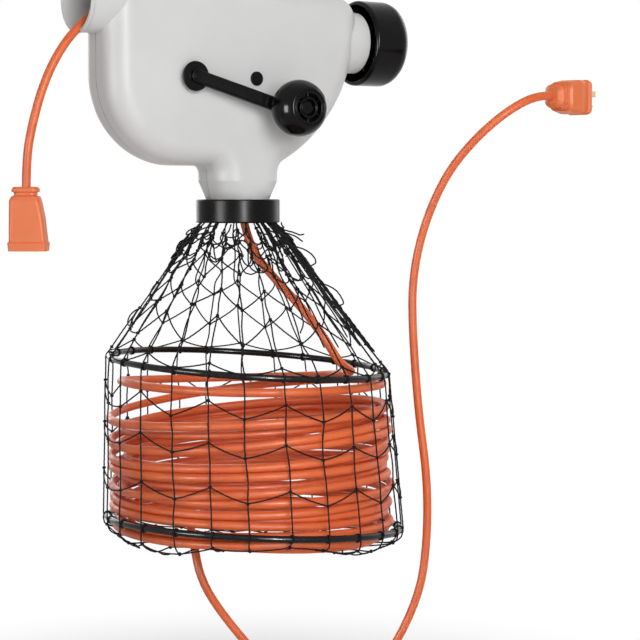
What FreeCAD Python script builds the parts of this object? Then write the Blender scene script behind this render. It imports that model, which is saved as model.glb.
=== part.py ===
"""Hand-cranked extension cord reel with a hanging net bag.

Millimetres, +Z up. The origin is the centre of the hanging eye, X runs from the cord mouth
to the tension knob, and Y runs from the crank side (front) to the back.
"""

import FreeCAD
import Part
import math
import os

V = FreeCAD.Vector

# Clearances
RUN_FIT = 0.05      # radial, a shaft turning in its hole
GAP = 0.3           # between pieces that move past each other
SEAT = 0.2          # between pieces that only sit in each other

# Housing: two moulded halves that meet on the plane Y = 0
HALF_DEPTH = 34.0
WALL = 2.6
EDGE_ROUND = 23.0
LEFT_X = -157.0
RIGHT_X = 129.0
LOW_TOP_Z = -63.0       # top edge over the tension side
HIGH_TOP_Z = -36.0      # top edge under the handle
STEP_X = 42.0           # foot of the slope between the two top edges
STEP_RUN = 14.0
TOP_LEFT_R = 32.0
TOP_RIGHT_R = 24.0
STEP_FOOT_R = 20.0
STEP_HEAD_R = 24.0
BELLY_R = 160.0         # long curve under the tension side
BELLY_SLOPE = 30.0      # degrees, where that curve meets the neck
NECK_LEFT_R = 8.0
NECK_RIGHT_R = 14.0
SCREW_POST_R = 5.0
HEAD_R = 4.0
HEAD_H = 3.0
SHANK_R = 2.0
HEAD_SEAT_Y = 22.0      # heads sit this far behind the parting plane
SHANK_END_Y = -14.0

# Neck
NECK_TOP_HALF = 35.5
NECK_R = 31.75
NECK_RUN = 7.56         # straight sides between the belly and the stretch that turns round
NECK_ROUND_H = 18.0     # stretch over which the neck turns from oblong to round
BELLY_BEND = math.radians(90 - BELLY_SLOPE)
BELLY_Z = LOW_TOP_Z - TOP_RIGHT_R - 1.0 - BELLY_R * math.tan(BELLY_BEND / 2)
NECK_Z = BELLY_Z - (RIGHT_X - NECK_TOP_HALF) * math.tan(math.radians(BELLY_SLOPE))
NECK_START_Z = NECK_Z - NECK_RIGHT_R * math.tan(BELLY_BEND / 2) - NECK_RUN
NECK_WALL = 2.8
NECK_END_DROP = 20.0    # spigot below the collar's top edge
LUG_COUNT = 3
LUG_OUT = 2.6
LUG_H = 3.6
LUG_DEG = 26.0

# Drive: axle, wheel and cord path
AXLE_X = -71.0
AXLE_Z = -150.0
BOWL_R = 85.0           # the housing's left end is round about the axle
AXLE_R = 5.0
BUSH_R = 8.0
BUSH_BOSS_R = 12.5
BUSH_IN_Y = 20.0        # the bushes reach in to here
WHEEL_HALF_W = 10.0
TYRE_R = 63.5
HUB_RIM_R = 54.0
HUB_RIM_T = 5.0
HUB_WEB_HALF = 2.5
HUB_BOSS_R = 13.0
HUB_HOLES = 6
HUB_HOLE_R = 10.0
HUB_RIBS = 6
CORD_D = 8.4
CORD_PATH_R = 66.0      # cord's centreline round the axle

# Crank
CRANK_R = 100.0
CRANK_DEG = 17.3        # below level at rest
CRANK_HUB_R = 14.7
CRANK_HUB_H = 8.4
CRANK_ARM_W = 14.5
CRANK_ARM_T = 6.5
CRANK_BOSS_R = 9.0
CRANK_SCREW_R = 2.5
CRANK_SCREW_HEAD_R = 4.6
CRANK_SCREW_HEAD_H = 3.0
CRANK_SCREW_LEN = 22.0
KNOB_R = 28.5
KNOB_OUT = 35.5         # ball's centre in front of the hub's face
KNOB_FLAT = 22.0        # flat front, from the ball's centre
KNOB_SHANK_R = 13.0
KNOB_RECESS_R = 15.0
KNOB_RECESS_D = 7.0
KNOB_RING_R = 9.5
KNOB_RING_IN_R = 7.6
KNOB_RIBS = 6
KNOB_PIN_R = 4.0
KNOB_PIN_HEAD_R = 6.6
KNOB_PIN_HEAD_H = 2.4
AXLE_FRONT_Y = -(HALF_DEPTH + GAP + CRANK_HUB_H - 4.0)
AXLE_REAR_Y = HALF_DEPTH - WALL - GAP
HUB_BACK_Y = -(HALF_DEPTH + 2 * GAP)
HUB_FACE_Y = HUB_BACK_Y - CRANK_HUB_H
CRANK_END_X = AXLE_X + CRANK_R * math.cos(math.radians(CRANK_DEG))
CRANK_END_Z = AXLE_Z - CRANK_R * math.sin(math.radians(CRANK_DEG))
CRANK_PLAY = 0.8        # the arm's face lies this far behind the hub's
BOSS_PROUD = 2.0        # the knob's boss stands this far before the hub's face
KNOB_Y = HUB_FACE_Y - KNOB_OUT
KNOB_FLAT_Y = KNOB_Y - KNOB_FLAT
KNOB_BACK_Y = HUB_FACE_Y - BOSS_PROUD - GAP
PIN_HEAD_Y = KNOB_FLAT_Y + KNOB_RECESS_D - GAP

# Pinch roller and its sprung yoke
PINCH_DEG = 29.7        # roller's direction from the drive axle
PIVOT_X = 1.5
PIVOT_Z = -150.0
ROLLER_R = 15.7
ROLLER_DIST = CORD_PATH_R + CORD_D / 2 + GAP + ROLLER_R
ROLLER_X = AXLE_X + ROLLER_DIST * math.cos(math.radians(PINCH_DEG))
ROLLER_Z = AXLE_Z + ROLLER_DIST * math.sin(math.radians(PINCH_DEG))
ROLLER_HALF_W = 11.0
ROLLER_HUB_R = 10.5
ROLLER_AXLE_R = 3.0
ROLLER_AXLE_HEAD = 1.6
YOKE_IN = 13.0          # side plates, from the mid plane
YOKE_T = 3.5
YOKE_BACK_X = 23.0
YOKE_BACK_T = 3.5
YOKE_HALF_H = 16.0
YOKE_EYE_R = 8.5
PIVOT_PIN_R = 4.0
PIVOT_HEAD_R = 7.0
PIVOT_HEAD_H = 1.6
PIVOT_BOSS_R = 8.0
YOKE_OUT = YOKE_IN + YOKE_T
YOKE_FACE_X = YOKE_BACK_X + YOKE_BACK_T

# Tension screw, seat and spring
TENSION_Z = -108.0
BOSS_R = 31.0
BOSS_END_X = 140.0
BOSS_WALL = 3.5
SCREW_R = 6.0
SCREW_IN_X = 74.0
SCREW_FLANGE_R = 10.0
SCREW_FLANGE_T = 4.5
SCREW_PITCH = 3.0
SEAT_X = 84.0           # face that the spring pushes on
SEAT_T = 8.0
SEAT_HALF_H = 13.0
SEAT_HALF_W = 17.0
RAIL_T = 3.0
RAIL_IN_Y = 10.0
RAIL_X = (68.0, 100.0)
SPIGOT_R = 8.3
SPIGOT_H = 3.5
SPRING_R = 10.2
SPRING_WIRE_R = 1.1
SPRING_TURNS = 7
CAP_R = 43.5
CAP_LEN = 44.5
CAP_WALL = 4.0
CAP_FAR_R = 15.0
CAP_NEAR_R = 3.0
CAP_HUB_R = 11.0
CAP_RIBS = 8

# Mouth
MOUTH_Z = -77.0
MOUTH_R = 33.4
MOUTH_X = -175.0        # rim
LIP_R = 2.4

# Handle with the hanging eye
HANDLE_X = (-126.0, 13.0)
HANDLE_TOP_Z = 19.0
HANDLE_HALF_T = 12.0
HANDLE_EDGE_R = 6.0
HANDLE_CORNER_R = 24.0
GRIP_H = 22.0
FOOT_LEFT_W = 26.0
FOOT_RIGHT_W = 32.0
GAP_CORNER_R = 11.0
EYE_R = 5.0
TONGUE_HALF_T = 5.0
TONGUE_FLANGE = 3.0
TONGUE_INSET = 5.0

# Collar and the bag's ring
COLLAR_TOP_Z = NECK_START_Z - NECK_ROUND_H
COLLAR_H = 23.5
COLLAR_R = 42.0
COLLAR_WEB = 4.0
COLLAR_WALL = 3.4
COLLAR_LIP_H = 2.6
COLLAR_LIP_IN = 2.6
RING_H = 5.0
RING_OUT_R = COLLAR_R - COLLAR_WALL - GAP

# Bag: net on two hoops, turned about the neck and hanging a little askew
BAG_TURN = 33.5         # degrees about Z
NET_T = 1.6
HOOP_WIRE_R = 3.25
TOP_HOOP_R = 138.3
TOP_HOOP_AT = 10.0      # centre, to the right of the neck's axis
TOP_HOOP_Z = COLLAR_TOP_Z - 165.0
TOP_HOOP_FALL = 9.3     # right end below the centre
TOP_HOOP_RISE = 0.0     # front above the centre
LOW_HOOP_R = TOP_HOOP_R + 8.7
LOW_HOOP_AT = 15.5
LOW_HOOP_Z = TOP_HOOP_Z - 159.0
LOW_HOOP_FALL = 7.0
LOW_HOOP_RISE = 8.0
NET_TOP_R = COLLAR_R - COLLAR_WALL - COLLAR_LIP_IN - GAP
NET_TOP_Z = COLLAR_TOP_Z - COLLAR_H + COLLAR_LIP_H + GAP
TOP_NET_R = TOP_HOOP_R + HOOP_WIRE_R + NET_T + GAP
LOW_NET_R = LOW_HOOP_R + HOOP_WIRE_R + NET_T + GAP
FLOOR_WALL_IN = 2.0     # the net floor's wall leans in this much over its first stretch
FLOOR_WALL_DROP = 11.0
FLOOR_EDGE_IN = 13.0
FLOOR_EDGE_DROP = 19.0
FLOOR_DROP = 21.0
FLOOR_MIDDLE_DROP = 25.0

# Cord in the bag
COIL_FROM = 0.49        # turns, counted from the loop's left end
COIL_TO = 17.5
COIL_PITCH = 8.25
COIL_REF_TURN = 2.0
COIL_REF_Z = TOP_HOOP_Z - 39.0
COIL_FAN = 1.5          # right end falls this much more per turn, and the left end less
COIL_FAN_LOW = 0.8      # the same below the level turn
COIL_FAN_MID = 9.33     # the turn that lies level
COIL_STAGGER = 3.1      # alternate turns lie further out at the left end, where they crowd
COIL_TOP_RISE = 18.5    # the first loop lies above the rest
COIL_R = LOW_HOOP_R - 11.0
COIL_TOP_R = COIL_R - 8.0
COIL_START_R = COIL_R - 36.0
COIL_END_R = COIL_R - 14.0

# Connector and plug
CONNECTOR_LEN = 60.0
CONNECTOR_DROP = 256.0  # its top below the eye
PLUG_ALONG = 313.0      # back of the plug, to the right of the neck's axis
PLUG_Z = -165.5
PLUG_RUN = 26.0         # straight cord behind the plug
COIL_RUN = 24.0         # straight cord after the last loop
PLUG_LEN = 54.0
PLUG_DIR = (0.954, 0.301)
BLADE_LEN = 17.5
BLADE_SPACING = 12.7
BLADE_W = 6.4
BLADE_T = 1.5
GROUND_PIN_R = 2.4
GROUND_PIN_LEN = 20.0
GROUND_DROP = 11.9
GROUND_ROOT_R = 3.2     # shoulder that holds the ground pin in the plug
BLADE_ROOT = 8.0        # length held in the plug

EXTRA = 60.0            # cutting solids run past what they cut by this much


def cyl_y(r, x, z, y0, y1):
    """Cylinder along Y."""
    return Part.makeCylinder(r, y1 - y0, V(x, y0, z), V(0, 1, 0))


def cyl_x(r, x0, x1, z, y=0.0):
    """Cylinder along X."""
    return Part.makeCylinder(r, x1 - x0, V(x0, y, z), V(1, 0, 0))


def cyl_z(r, z0, z1, x=0.0, y=0.0):
    """Cylinder along Z."""
    return Part.makeCylinder(r, z1 - z0, V(x, y, z0))


def block(x0, x1, y0, y1, z0, z1):
    """Box between two corners."""
    return Part.makeBox(x1 - x0, y1 - y0, z1 - z0, V(x0, y0, z0))


def fuse(shapes):
    """One solid from several that touch."""
    whole = shapes[0].fuse(shapes[1:]) if len(shapes) > 1 else shapes[0]
    return whole.removeSplitter()


def group(shapes):
    """Several separate solids in one node."""
    return Part.makeCompound(shapes)


def arc_middle(start, corner, end):
    """Middle point of the arc that touches start-corner and corner-end at its two ends."""
    leg = (start - corner).Length
    cosine = (corner - start).dot(end - corner) / (leg * (end - corner).Length)
    half_turn = math.acos(max(-1.0, min(1.0, cosine))) / 2
    radius = leg / math.tan(half_turn)
    inward = ((start + end) * 0.5 - corner).normalize()
    return corner + inward * (radius / math.cos(half_turn) - radius)


def rounded_wire(corners):
    """Closed wire in an XZ plane from (x, z, corner radius), with arcs in the corners."""
    count = len(corners)
    points = [V(x, 0, z) for x, z, r in corners]
    edges = []
    cuts = []
    for i, (x, z, r) in enumerate(corners):
        back = (points[i - 1] - points[i]).normalize()
        ahead = (points[(i + 1) % count] - points[i]).normalize()
        turn = math.pi - back.getAngle(ahead)
        leg = r * math.tan(turn / 2)
        cuts.append((points[i] + back * leg, points[i] + ahead * leg, r))
    for i in range(count):
        start, end, r = cuts[i]
        if r > 0:
            edges.append(Part.Arc(start, arc_middle(start, points[i], end), end).toShape())
        following = cuts[(i + 1) % count][0]
        if (following - end).Length > 1e-6:
            edges.append(Part.LineSegment(end, following).toShape())
    return Part.Wire(edges)


def inset(corners, depth):
    """The same outline with every side moved inwards, and its corner radii to match."""
    count = len(corners)
    lines = []
    for i in range(count):
        x0, z0, _ = corners[i]
        x1, z1, _ = corners[(i + 1) % count]
        length = math.hypot(x1 - x0, z1 - z0)
        along = ((x1 - x0) / length, (z1 - z0) / length)
        lines.append(((x0 - along[1] * depth, z0 + along[0] * depth), along))
    moved = []
    for i in range(count):
        (ax, az), (ux, uz) = lines[i - 1]
        (bx, bz), (vx, vz) = lines[i]
        cross = ux * vz - uz * vx
        t = ((bx - ax) * vz - (bz - az) * vx) / cross
        r = corners[i][2]
        if r > 0:
            r = r - depth if cross > 0 else r + depth
        moved.append((ax + ux * t, az + uz * t, r))
    return moved


def slab(corners, half_depth, rounding, open_below):
    """Solid of an outline, rounded along both faces except at its lowest edge."""
    solid = Part.Face(rounded_wire(corners)).extrude(V(0, 2 * half_depth, 0))
    solid.translate(V(0, -half_depth, 0))
    rims = []
    for edge in solid.Edges:
        box = edge.BoundBox
        flat = box.YMax - box.YMin < 1e-6
        if flat and box.ZMax > open_below + 1e-3:
            rims.append(edge)
    return solid.makeFillet(rounding, rims)


def body_corners():
    """Outline of the housing, anticlockwise seen from the front."""
    bowl_z = AXLE_Z - BOWL_R
    return [
        (NECK_TOP_HALF, NECK_START_Z, 0.0),
        (NECK_TOP_HALF, NECK_Z, NECK_RIGHT_R),
        (RIGHT_X, BELLY_Z, BELLY_R),
        (RIGHT_X, LOW_TOP_Z, TOP_RIGHT_R),
        (STEP_X, LOW_TOP_Z, STEP_FOOT_R),
        (STEP_X - STEP_RUN, HIGH_TOP_Z, STEP_HEAD_R),
        (LEFT_X, HIGH_TOP_Z, TOP_LEFT_R),
        (LEFT_X, bowl_z, AXLE_X - LEFT_X),
        (-NECK_TOP_HALF, bowl_z, NECK_LEFT_R),
        (-NECK_TOP_HALF, NECK_START_Z, 0.0),
    ]


def neck_loft(half_x, half_y, corner_r, round_r):
    """From the housing's rounded oblong section down to the round neck."""
    low = COLLAR_TOP_Z
    a, b, r = half_x, half_y, corner_r
    top = []
    bottom = []
    spread = 22.0
    for quarter in range(4):
        sx, sy = ((1, 1), (-1, 1), (-1, -1), (1, -1))[quarter]
        centre = V(sx * (a - r), sy * (b - r), NECK_START_Z)
        mid_deg = 45 + 90 * quarter
        ends = [mid_deg - 45, mid_deg, mid_deg + 45]
        top.append([centre + V(math.cos(math.radians(d)), math.sin(math.radians(d)), 0) * r for d in ends])
        degs = [mid_deg - 45 + spread, mid_deg, mid_deg + 45 - spread]
        bottom.append([V(round_r * math.cos(math.radians(d)), round_r * math.sin(math.radians(d)), low)
                       for d in degs])
    upper = []
    lower = []
    for quarter in range(4):
        after = (quarter + 1) % 4
        upper.append(Part.Arc(*top[quarter]).toShape())
        upper.append(Part.LineSegment(top[quarter][2], top[after][0]).toShape())
        lower.append(Part.Arc(*bottom[quarter]).toShape())
        between = math.radians(90 * (quarter + 1))
        middle = V(round_r * math.cos(between), round_r * math.sin(between), low)
        lower.append(Part.Arc(bottom[quarter][2], middle, bottom[after][0]).toShape())
    return Part.makeLoft([Part.Wire(upper), Part.Wire(lower)], True, True)


def housing_outer():
    """The housing's outer form, solid."""
    body = slab(body_corners(), HALF_DEPTH, EDGE_ROUND, NECK_START_Z)
    neck = neck_loft(NECK_TOP_HALF, HALF_DEPTH, EDGE_ROUND, NECK_R)
    spigot = cyl_z(NECK_R, COLLAR_TOP_Z - NECK_END_DROP, COLLAR_TOP_Z)
    mouth = cyl_x(MOUTH_R, MOUTH_X, LEFT_X + EDGE_ROUND, MOUTH_Z)
    lip = Part.makeTorus(MOUTH_R - LIP_R + 1.0, LIP_R, V(MOUTH_X, 0, MOUTH_Z), V(1, 0, 0))
    boss = cyl_x(BOSS_R, RIGHT_X - EDGE_ROUND, BOSS_END_X, TENSION_Z)
    return fuse([body, neck, spigot, mouth, lip, boss])


def housing_inner():
    """The hollow in the housing."""
    corners = inset(body_corners(), WALL)
    lowest = NECK_START_Z
    corners[0] = (corners[0][0], lowest, 0.0)
    corners[-1] = (corners[-1][0], lowest, 0.0)
    body = slab(corners, HALF_DEPTH - WALL, EDGE_ROUND - WALL, lowest)
    neck = neck_loft(NECK_TOP_HALF - WALL, HALF_DEPTH - WALL, EDGE_ROUND - WALL, NECK_R - NECK_WALL)
    bore = cyl_z(NECK_R - NECK_WALL, COLLAR_TOP_Z - NECK_END_DROP - 1.0, COLLAR_TOP_Z)
    mouth = cyl_x(MOUTH_R - WALL, MOUTH_X - EXTRA, LEFT_X + EDGE_ROUND, MOUTH_Z)
    boss = cyl_x(BOSS_R - WALL, RIGHT_X - EDGE_ROUND, BOSS_END_X - BOSS_WALL, TENSION_Z)
    return fuse([body, neck, bore, mouth, boss])


def post_places():
    """Where the case screws stand, as (x, z)."""
    ring = BOWL_R - WALL - SCREW_POST_R - 3.0
    places = []
    for deg in (200.0, 262.0):
        turn = math.radians(deg)
        places.append((AXLE_X + ring * math.cos(turn), AXLE_Z + ring * math.sin(turn)))
    places.append((NECK_TOP_HALF + 5.0, NECK_START_Z + 40.0))
    places.append((RIGHT_X - 34.0, TENSION_Z - 52.0))
    places.append((RIGHT_X - 27.0, LOW_TOP_Z - 17.0))
    places.append((LEFT_X + 47.0, HIGH_TOP_Z - 15.0))
    places.append((0.0, HIGH_TOP_Z - 22.0))
    return places


def shell_half(side, outer, hollow_shell):
    """One half of the housing: side is -1 for the front and 1 for the rear."""
    y0, y1 = (-EXTRA, 0.0) if side < 0 else (0.0, EXTRA)
    far = 400.0
    half_space = block(-far, far, y0, y1, -far, far)
    half = hollow_shell.common(half_space)
    inner_y = HALF_DEPTH - WALL
    adds = []
    cuts = []

    def span(a, b):
        """The stretch from a to b, measured from the parting plane towards this side."""
        return (a, b) if side > 0 else (-b, -a)

    for x, z in post_places():
        adds.append(cyl_y(SCREW_POST_R, x, z, *span(0.0, HALF_DEPTH)).common(outer))
        if side > 0:
            cuts.append(cyl_y(HEAD_R + SEAT, x, z, HEAD_SEAT_Y, EXTRA))
            cuts.append(cyl_y(SHANK_R + SEAT, x, z, -1.0, HEAD_SEAT_Y))
        else:
            cuts.append(cyl_y(SHANK_R, x, z, SHANK_END_Y - 1.0, 1.0))
    adds.append(cyl_y(BUSH_BOSS_R, AXLE_X, AXLE_Z, *span(BUSH_IN_Y, inner_y + 0.5)))
    adds.append(cyl_y(PIVOT_BOSS_R, PIVOT_X, PIVOT_Z, *span(YOKE_IN + YOKE_T + GAP, inner_y + 0.5)))
    for sign in (-1, 1):
        low = TENSION_Z + sign * (SEAT_HALF_H + GAP)
        z0, z1 = (low, low + RAIL_T) if sign > 0 else (low - RAIL_T, low)
        adds.append(block(RAIL_X[0], RAIL_X[1], *span(RAIL_IN_Y, inner_y + 0.5), z0, z1))
    lug_top = COLLAR_TOP_Z - COLLAR_WEB - GAP
    for i in range(LUG_COUNT):
        adds.append(lug(90.0 + i * 360.0 / LUG_COUNT, lug_top).common(half_space))
    reach = HALF_DEPTH + 1.0 if side < 0 else inner_y
    cuts.append(cyl_y(BUSH_R, AXLE_X, AXLE_Z, *span(BUSH_IN_Y - 1.0, reach)))
    cuts.append(cyl_y(PIVOT_PIN_R, PIVOT_X, PIVOT_Z, *span(YOKE_IN, HALF_DEPTH + 1.0)))
    cuts.append(cyl_x(SCREW_R + GAP, BOSS_END_X - BOSS_WALL - 1.0, BOSS_END_X + 1.0, TENSION_Z))
    for x0, x1 in foot_spans():
        cuts.append(block(x0 - SEAT, x1 + SEAT, -TONGUE_HALF_T - SEAT, TONGUE_HALF_T + SEAT,
                          HIGH_TOP_Z - 2 * WALL, HIGH_TOP_Z + 1.0))
    return half.fuse(adds).cut(cuts).removeSplitter()


def lug(deg, top):
    """Bayonet lug under the collar's web."""
    ring = cyl_z(NECK_R + LUG_OUT, top - LUG_H, top).cut(cyl_z(NECK_R - 1.0, top - LUG_H, top))
    return ring.common(wedge(deg, LUG_DEG, top - LUG_H - 1.0, top + 1.0, NECK_R + EXTRA))


def wedge(deg, spread, z0, z1, reach):
    """Pie slice about the Z axis."""
    edge = [V(0, 0, z0)]
    for d in (deg - spread / 2, deg, deg + spread / 2):
        edge.append(V(reach * math.cos(math.radians(d)), reach * math.sin(math.radians(d)), z0))
    face = Part.Face(Part.makePolygon(edge + [edge[0]]))
    return face.extrude(V(0, 0, z1 - z0))


def case_screws():
    """Screws that pull the rear half onto the front half."""
    screws = []
    for x, z in post_places():
        head = cyl_y(HEAD_R, x, z, HEAD_SEAT_Y, HEAD_SEAT_Y + HEAD_H)
        shank = cyl_y(SHANK_R, x, z, SHANK_END_Y, HEAD_SEAT_Y)
        slot_long = block(x - HEAD_R / 2, x + HEAD_R / 2, HEAD_SEAT_Y + HEAD_H / 2,
                          HEAD_SEAT_Y + HEAD_H + 1.0, z - 0.5, z + 0.5)
        slot_up = block(x - 0.5, x + 0.5, HEAD_SEAT_Y + HEAD_H / 2,
                        HEAD_SEAT_Y + HEAD_H + 1.0, z - HEAD_R / 2, z + HEAD_R / 2)
        screws.append(head.fuse(shank).cut([slot_long, slot_up]).removeSplitter())
    return group(screws)


def foot_spans():
    """X ranges of the handle's two feet tongues."""
    left = (HANDLE_X[0] + TONGUE_INSET, HANDLE_X[0] + FOOT_LEFT_W - TONGUE_INSET)
    right = (HANDLE_X[1] - FOOT_RIGHT_W + TONGUE_INSET, HANDLE_X[1] - TONGUE_INSET)
    return left, right


def carry_handle():
    """Arched handle; its two feet are trapped between the halves, and the eye goes through one."""
    x0, x1 = HANDLE_X
    inner_x0, inner_x1 = x0 + FOOT_LEFT_W, x1 - FOOT_RIGHT_W
    grip_z = HANDLE_TOP_Z - GRIP_H
    outline = rounded_wire([
        (x0, HIGH_TOP_Z, 0.0),
        (inner_x0, HIGH_TOP_Z, 0.0),
        (inner_x0, grip_z, GAP_CORNER_R),
        (inner_x1, grip_z, GAP_CORNER_R),
        (inner_x1, HIGH_TOP_Z, 0.0),
        (x1, HIGH_TOP_Z, 0.0),
        (x1, HANDLE_TOP_Z, HANDLE_CORNER_R),
        (x0, HANDLE_TOP_Z, HANDLE_CORNER_R),
    ])
    arch = Part.Face(outline).extrude(V(0, 2 * HANDLE_HALF_T, 0))
    arch.translate(V(0, -HANDLE_HALF_T, 0))
    rims = []
    for edge in arch.Edges:
        box = edge.BoundBox
        if box.YMax - box.YMin < 1e-6 and box.ZMax > HIGH_TOP_Z + 1e-3:
            rims.append(edge)
    arch = arch.makeFillet(HANDLE_EDGE_R, rims)
    pieces = [arch]
    flange_top = HIGH_TOP_Z - WALL - SEAT
    for a, b in foot_spans():
        pieces.append(block(a, b, -TONGUE_HALF_T, TONGUE_HALF_T, flange_top - 2.0, HIGH_TOP_Z))
        pieces.append(block(a, b, -TONGUE_HALF_T - TONGUE_FLANGE, TONGUE_HALF_T + TONGUE_FLANGE,
                            flange_top - 2.0, flange_top))
    eye = cyl_y(EYE_R, 0.0, 0.0, -EXTRA, EXTRA)
    return fuse(pieces).cut(eye)


def bush(front):
    """Plain bearing of the drive axle."""
    y0, y1 = (-HALF_DEPTH, -BUSH_IN_Y) if front else (BUSH_IN_Y, HALF_DEPTH - WALL)
    ring = cyl_y(BUSH_R, AXLE_X, AXLE_Z, y0, y1)
    return ring.cut(cyl_y(AXLE_R + RUN_FIT, AXLE_X, AXLE_Z, y0 - 1.0, y1 + 1.0))


def drive_axle():
    """Steel axle with a flat at its crank end and a tapped hole for the crank's screw."""
    axle = cyl_y(AXLE_R, AXLE_X, AXLE_Z, AXLE_FRONT_Y, AXLE_REAR_Y)
    flat = block(AXLE_X - AXLE_R, AXLE_X + AXLE_R, AXLE_FRONT_Y - 1.0, HUB_BACK_Y,
                 AXLE_Z + AXLE_R * 0.6, AXLE_Z + AXLE_R + 1.0)
    tapped = cyl_y(CRANK_SCREW_R, AXLE_X, AXLE_Z, AXLE_FRONT_Y - 1.0,
                   HUB_FACE_Y + CRANK_SCREW_HEAD_H + CRANK_SCREW_LEN + 1.0)
    return axle.cut([flat, tapped])


def drive_wheel_hub():
    """Moulded wheel: rim, thin web with holes, ribs and a long boss on the axle."""
    x, z = AXLE_X, AXLE_Z
    boss_half = BUSH_IN_Y - GAP
    rim = cyl_y(HUB_RIM_R, x, z, -WHEEL_HALF_W, WHEEL_HALF_W)
    rim = rim.cut(cyl_y(HUB_RIM_R - HUB_RIM_T, x, z, -WHEEL_HALF_W - 1.0, WHEEL_HALF_W + 1.0))
    web = cyl_y(HUB_RIM_R - 1.0, x, z, -HUB_WEB_HALF, HUB_WEB_HALF)
    boss = cyl_y(HUB_BOSS_R, x, z, -boss_half, boss_half)
    ribs = []
    holes = []
    hole_at = (HUB_BOSS_R + HUB_RIM_R - HUB_RIM_T) / 2
    for i in range(HUB_RIBS):
        rib = block(x + HUB_BOSS_R - 1.0, x + HUB_RIM_R - 1.0, -WHEEL_HALF_W + 2.0,
                    WHEEL_HALF_W - 2.0, z - 1.5, z + 1.5)
        rib.rotate(V(x, 0, z), V(0, 1, 0), i * 360.0 / HUB_RIBS)
        ribs.append(rib)
    for i in range(HUB_HOLES):
        turn = math.radians((i + 0.5) * 360.0 / HUB_HOLES)
        holes.append(cyl_y(HUB_HOLE_R, x + hole_at * math.cos(turn), z + hole_at * math.sin(turn),
                           -EXTRA, EXTRA))
    wheel = fuse([rim, web, boss] + ribs)
    return wheel.cut(holes + [cyl_y(AXLE_R, x, z, -EXTRA, EXTRA)])


def drive_tyre():
    """Rubber tyre with a groove that the cord lies in."""
    tyre = cyl_y(TYRE_R, AXLE_X, AXLE_Z, -WHEEL_HALF_W, WHEEL_HALF_W)
    bore = cyl_y(HUB_RIM_R, AXLE_X, AXLE_Z, -WHEEL_HALF_W - 1.0, WHEEL_HALF_W + 1.0)
    groove = Part.makeTorus(CORD_PATH_R, CORD_D / 2 + GAP, V(AXLE_X, 0, AXLE_Z), V(0, 1, 0))
    return tyre.cut([bore, groove])


def crank_arm():
    """Hub, tapering arm and pin boss in one moulding."""
    x1, z1 = CRANK_END_X, CRANK_END_Z
    hub = cyl_y(CRANK_HUB_R, AXLE_X, AXLE_Z, HUB_FACE_Y, HUB_BACK_Y)
    hub = hub.makeFillet(1.2, [e for e in hub.Edges if abs(e.BoundBox.YMax - HUB_FACE_Y) < 1e-3])
    arm_y = HUB_FACE_Y + CRANK_PLAY
    arm = block(AXLE_X, AXLE_X + CRANK_R, arm_y, arm_y + CRANK_ARM_T,
                AXLE_Z - CRANK_ARM_W / 2, AXLE_Z + CRANK_ARM_W / 2)
    arm = arm.makeFillet(1.2, [e for e in arm.Edges if e.BoundBox.XMax - e.BoundBox.XMin > 1.0])
    arm.rotate(V(AXLE_X, 0, AXLE_Z), V(0, 1, 0), CRANK_DEG)
    boss = cyl_y(CRANK_BOSS_R, x1, z1, HUB_FACE_Y - BOSS_PROUD, arm_y + CRANK_ARM_T)
    arm = fuse([hub, arm, boss])
    shaft_hole = cyl_y(AXLE_R, AXLE_X, AXLE_Z, AXLE_FRONT_Y, HUB_BACK_Y + 1.0)
    flat = block(AXLE_X - AXLE_R, AXLE_X + AXLE_R, AXLE_FRONT_Y, HUB_BACK_Y + 1.0,
                 AXLE_Z + AXLE_R * 0.6, AXLE_Z + AXLE_R + 1.0)
    head = cyl_y(CRANK_SCREW_HEAD_R, AXLE_X, AXLE_Z, HUB_FACE_Y - 1.0,
                 HUB_FACE_Y + CRANK_SCREW_HEAD_H)
    shank = cyl_y(CRANK_SCREW_R, AXLE_X, AXLE_Z, HUB_FACE_Y, AXLE_FRONT_Y)
    pin = cyl_y(KNOB_PIN_R, x1, z1, HUB_FACE_Y - EXTRA, arm_y + CRANK_ARM_T + 1.0)
    return arm.cut([shaft_hole.cut(flat), head, shank, pin])


def crank_screw():
    """Screw through the crank's hub into the axle."""
    top = HUB_FACE_Y + CRANK_SCREW_HEAD_H
    head = cyl_y(CRANK_SCREW_HEAD_R, AXLE_X, AXLE_Z, HUB_FACE_Y + 0.6, top)
    shank = cyl_y(CRANK_SCREW_R, AXLE_X, AXLE_Z, top, top + CRANK_SCREW_LEN)
    slot = block(AXLE_X - 0.6, AXLE_X + 0.6, HUB_FACE_Y, HUB_FACE_Y + 1.8,
                 AXLE_Z - CRANK_SCREW_HEAD_R * 0.7, AXLE_Z + CRANK_SCREW_HEAD_R * 0.7)
    return head.fuse(shank).cut(slot).removeSplitter()


def knob_pin():
    """Steel pin that the crank's knob turns on, with its head in the knob's recess."""
    x, z = CRANK_END_X, CRANK_END_Z
    arm_back = HUB_FACE_Y + CRANK_PLAY + CRANK_ARM_T
    shank = cyl_y(KNOB_PIN_R, x, z, PIN_HEAD_Y, arm_back)
    head = cyl_y(KNOB_PIN_HEAD_R, x, z, PIN_HEAD_Y - KNOB_PIN_HEAD_H, PIN_HEAD_Y)
    return head.fuse(shank).removeSplitter()


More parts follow.
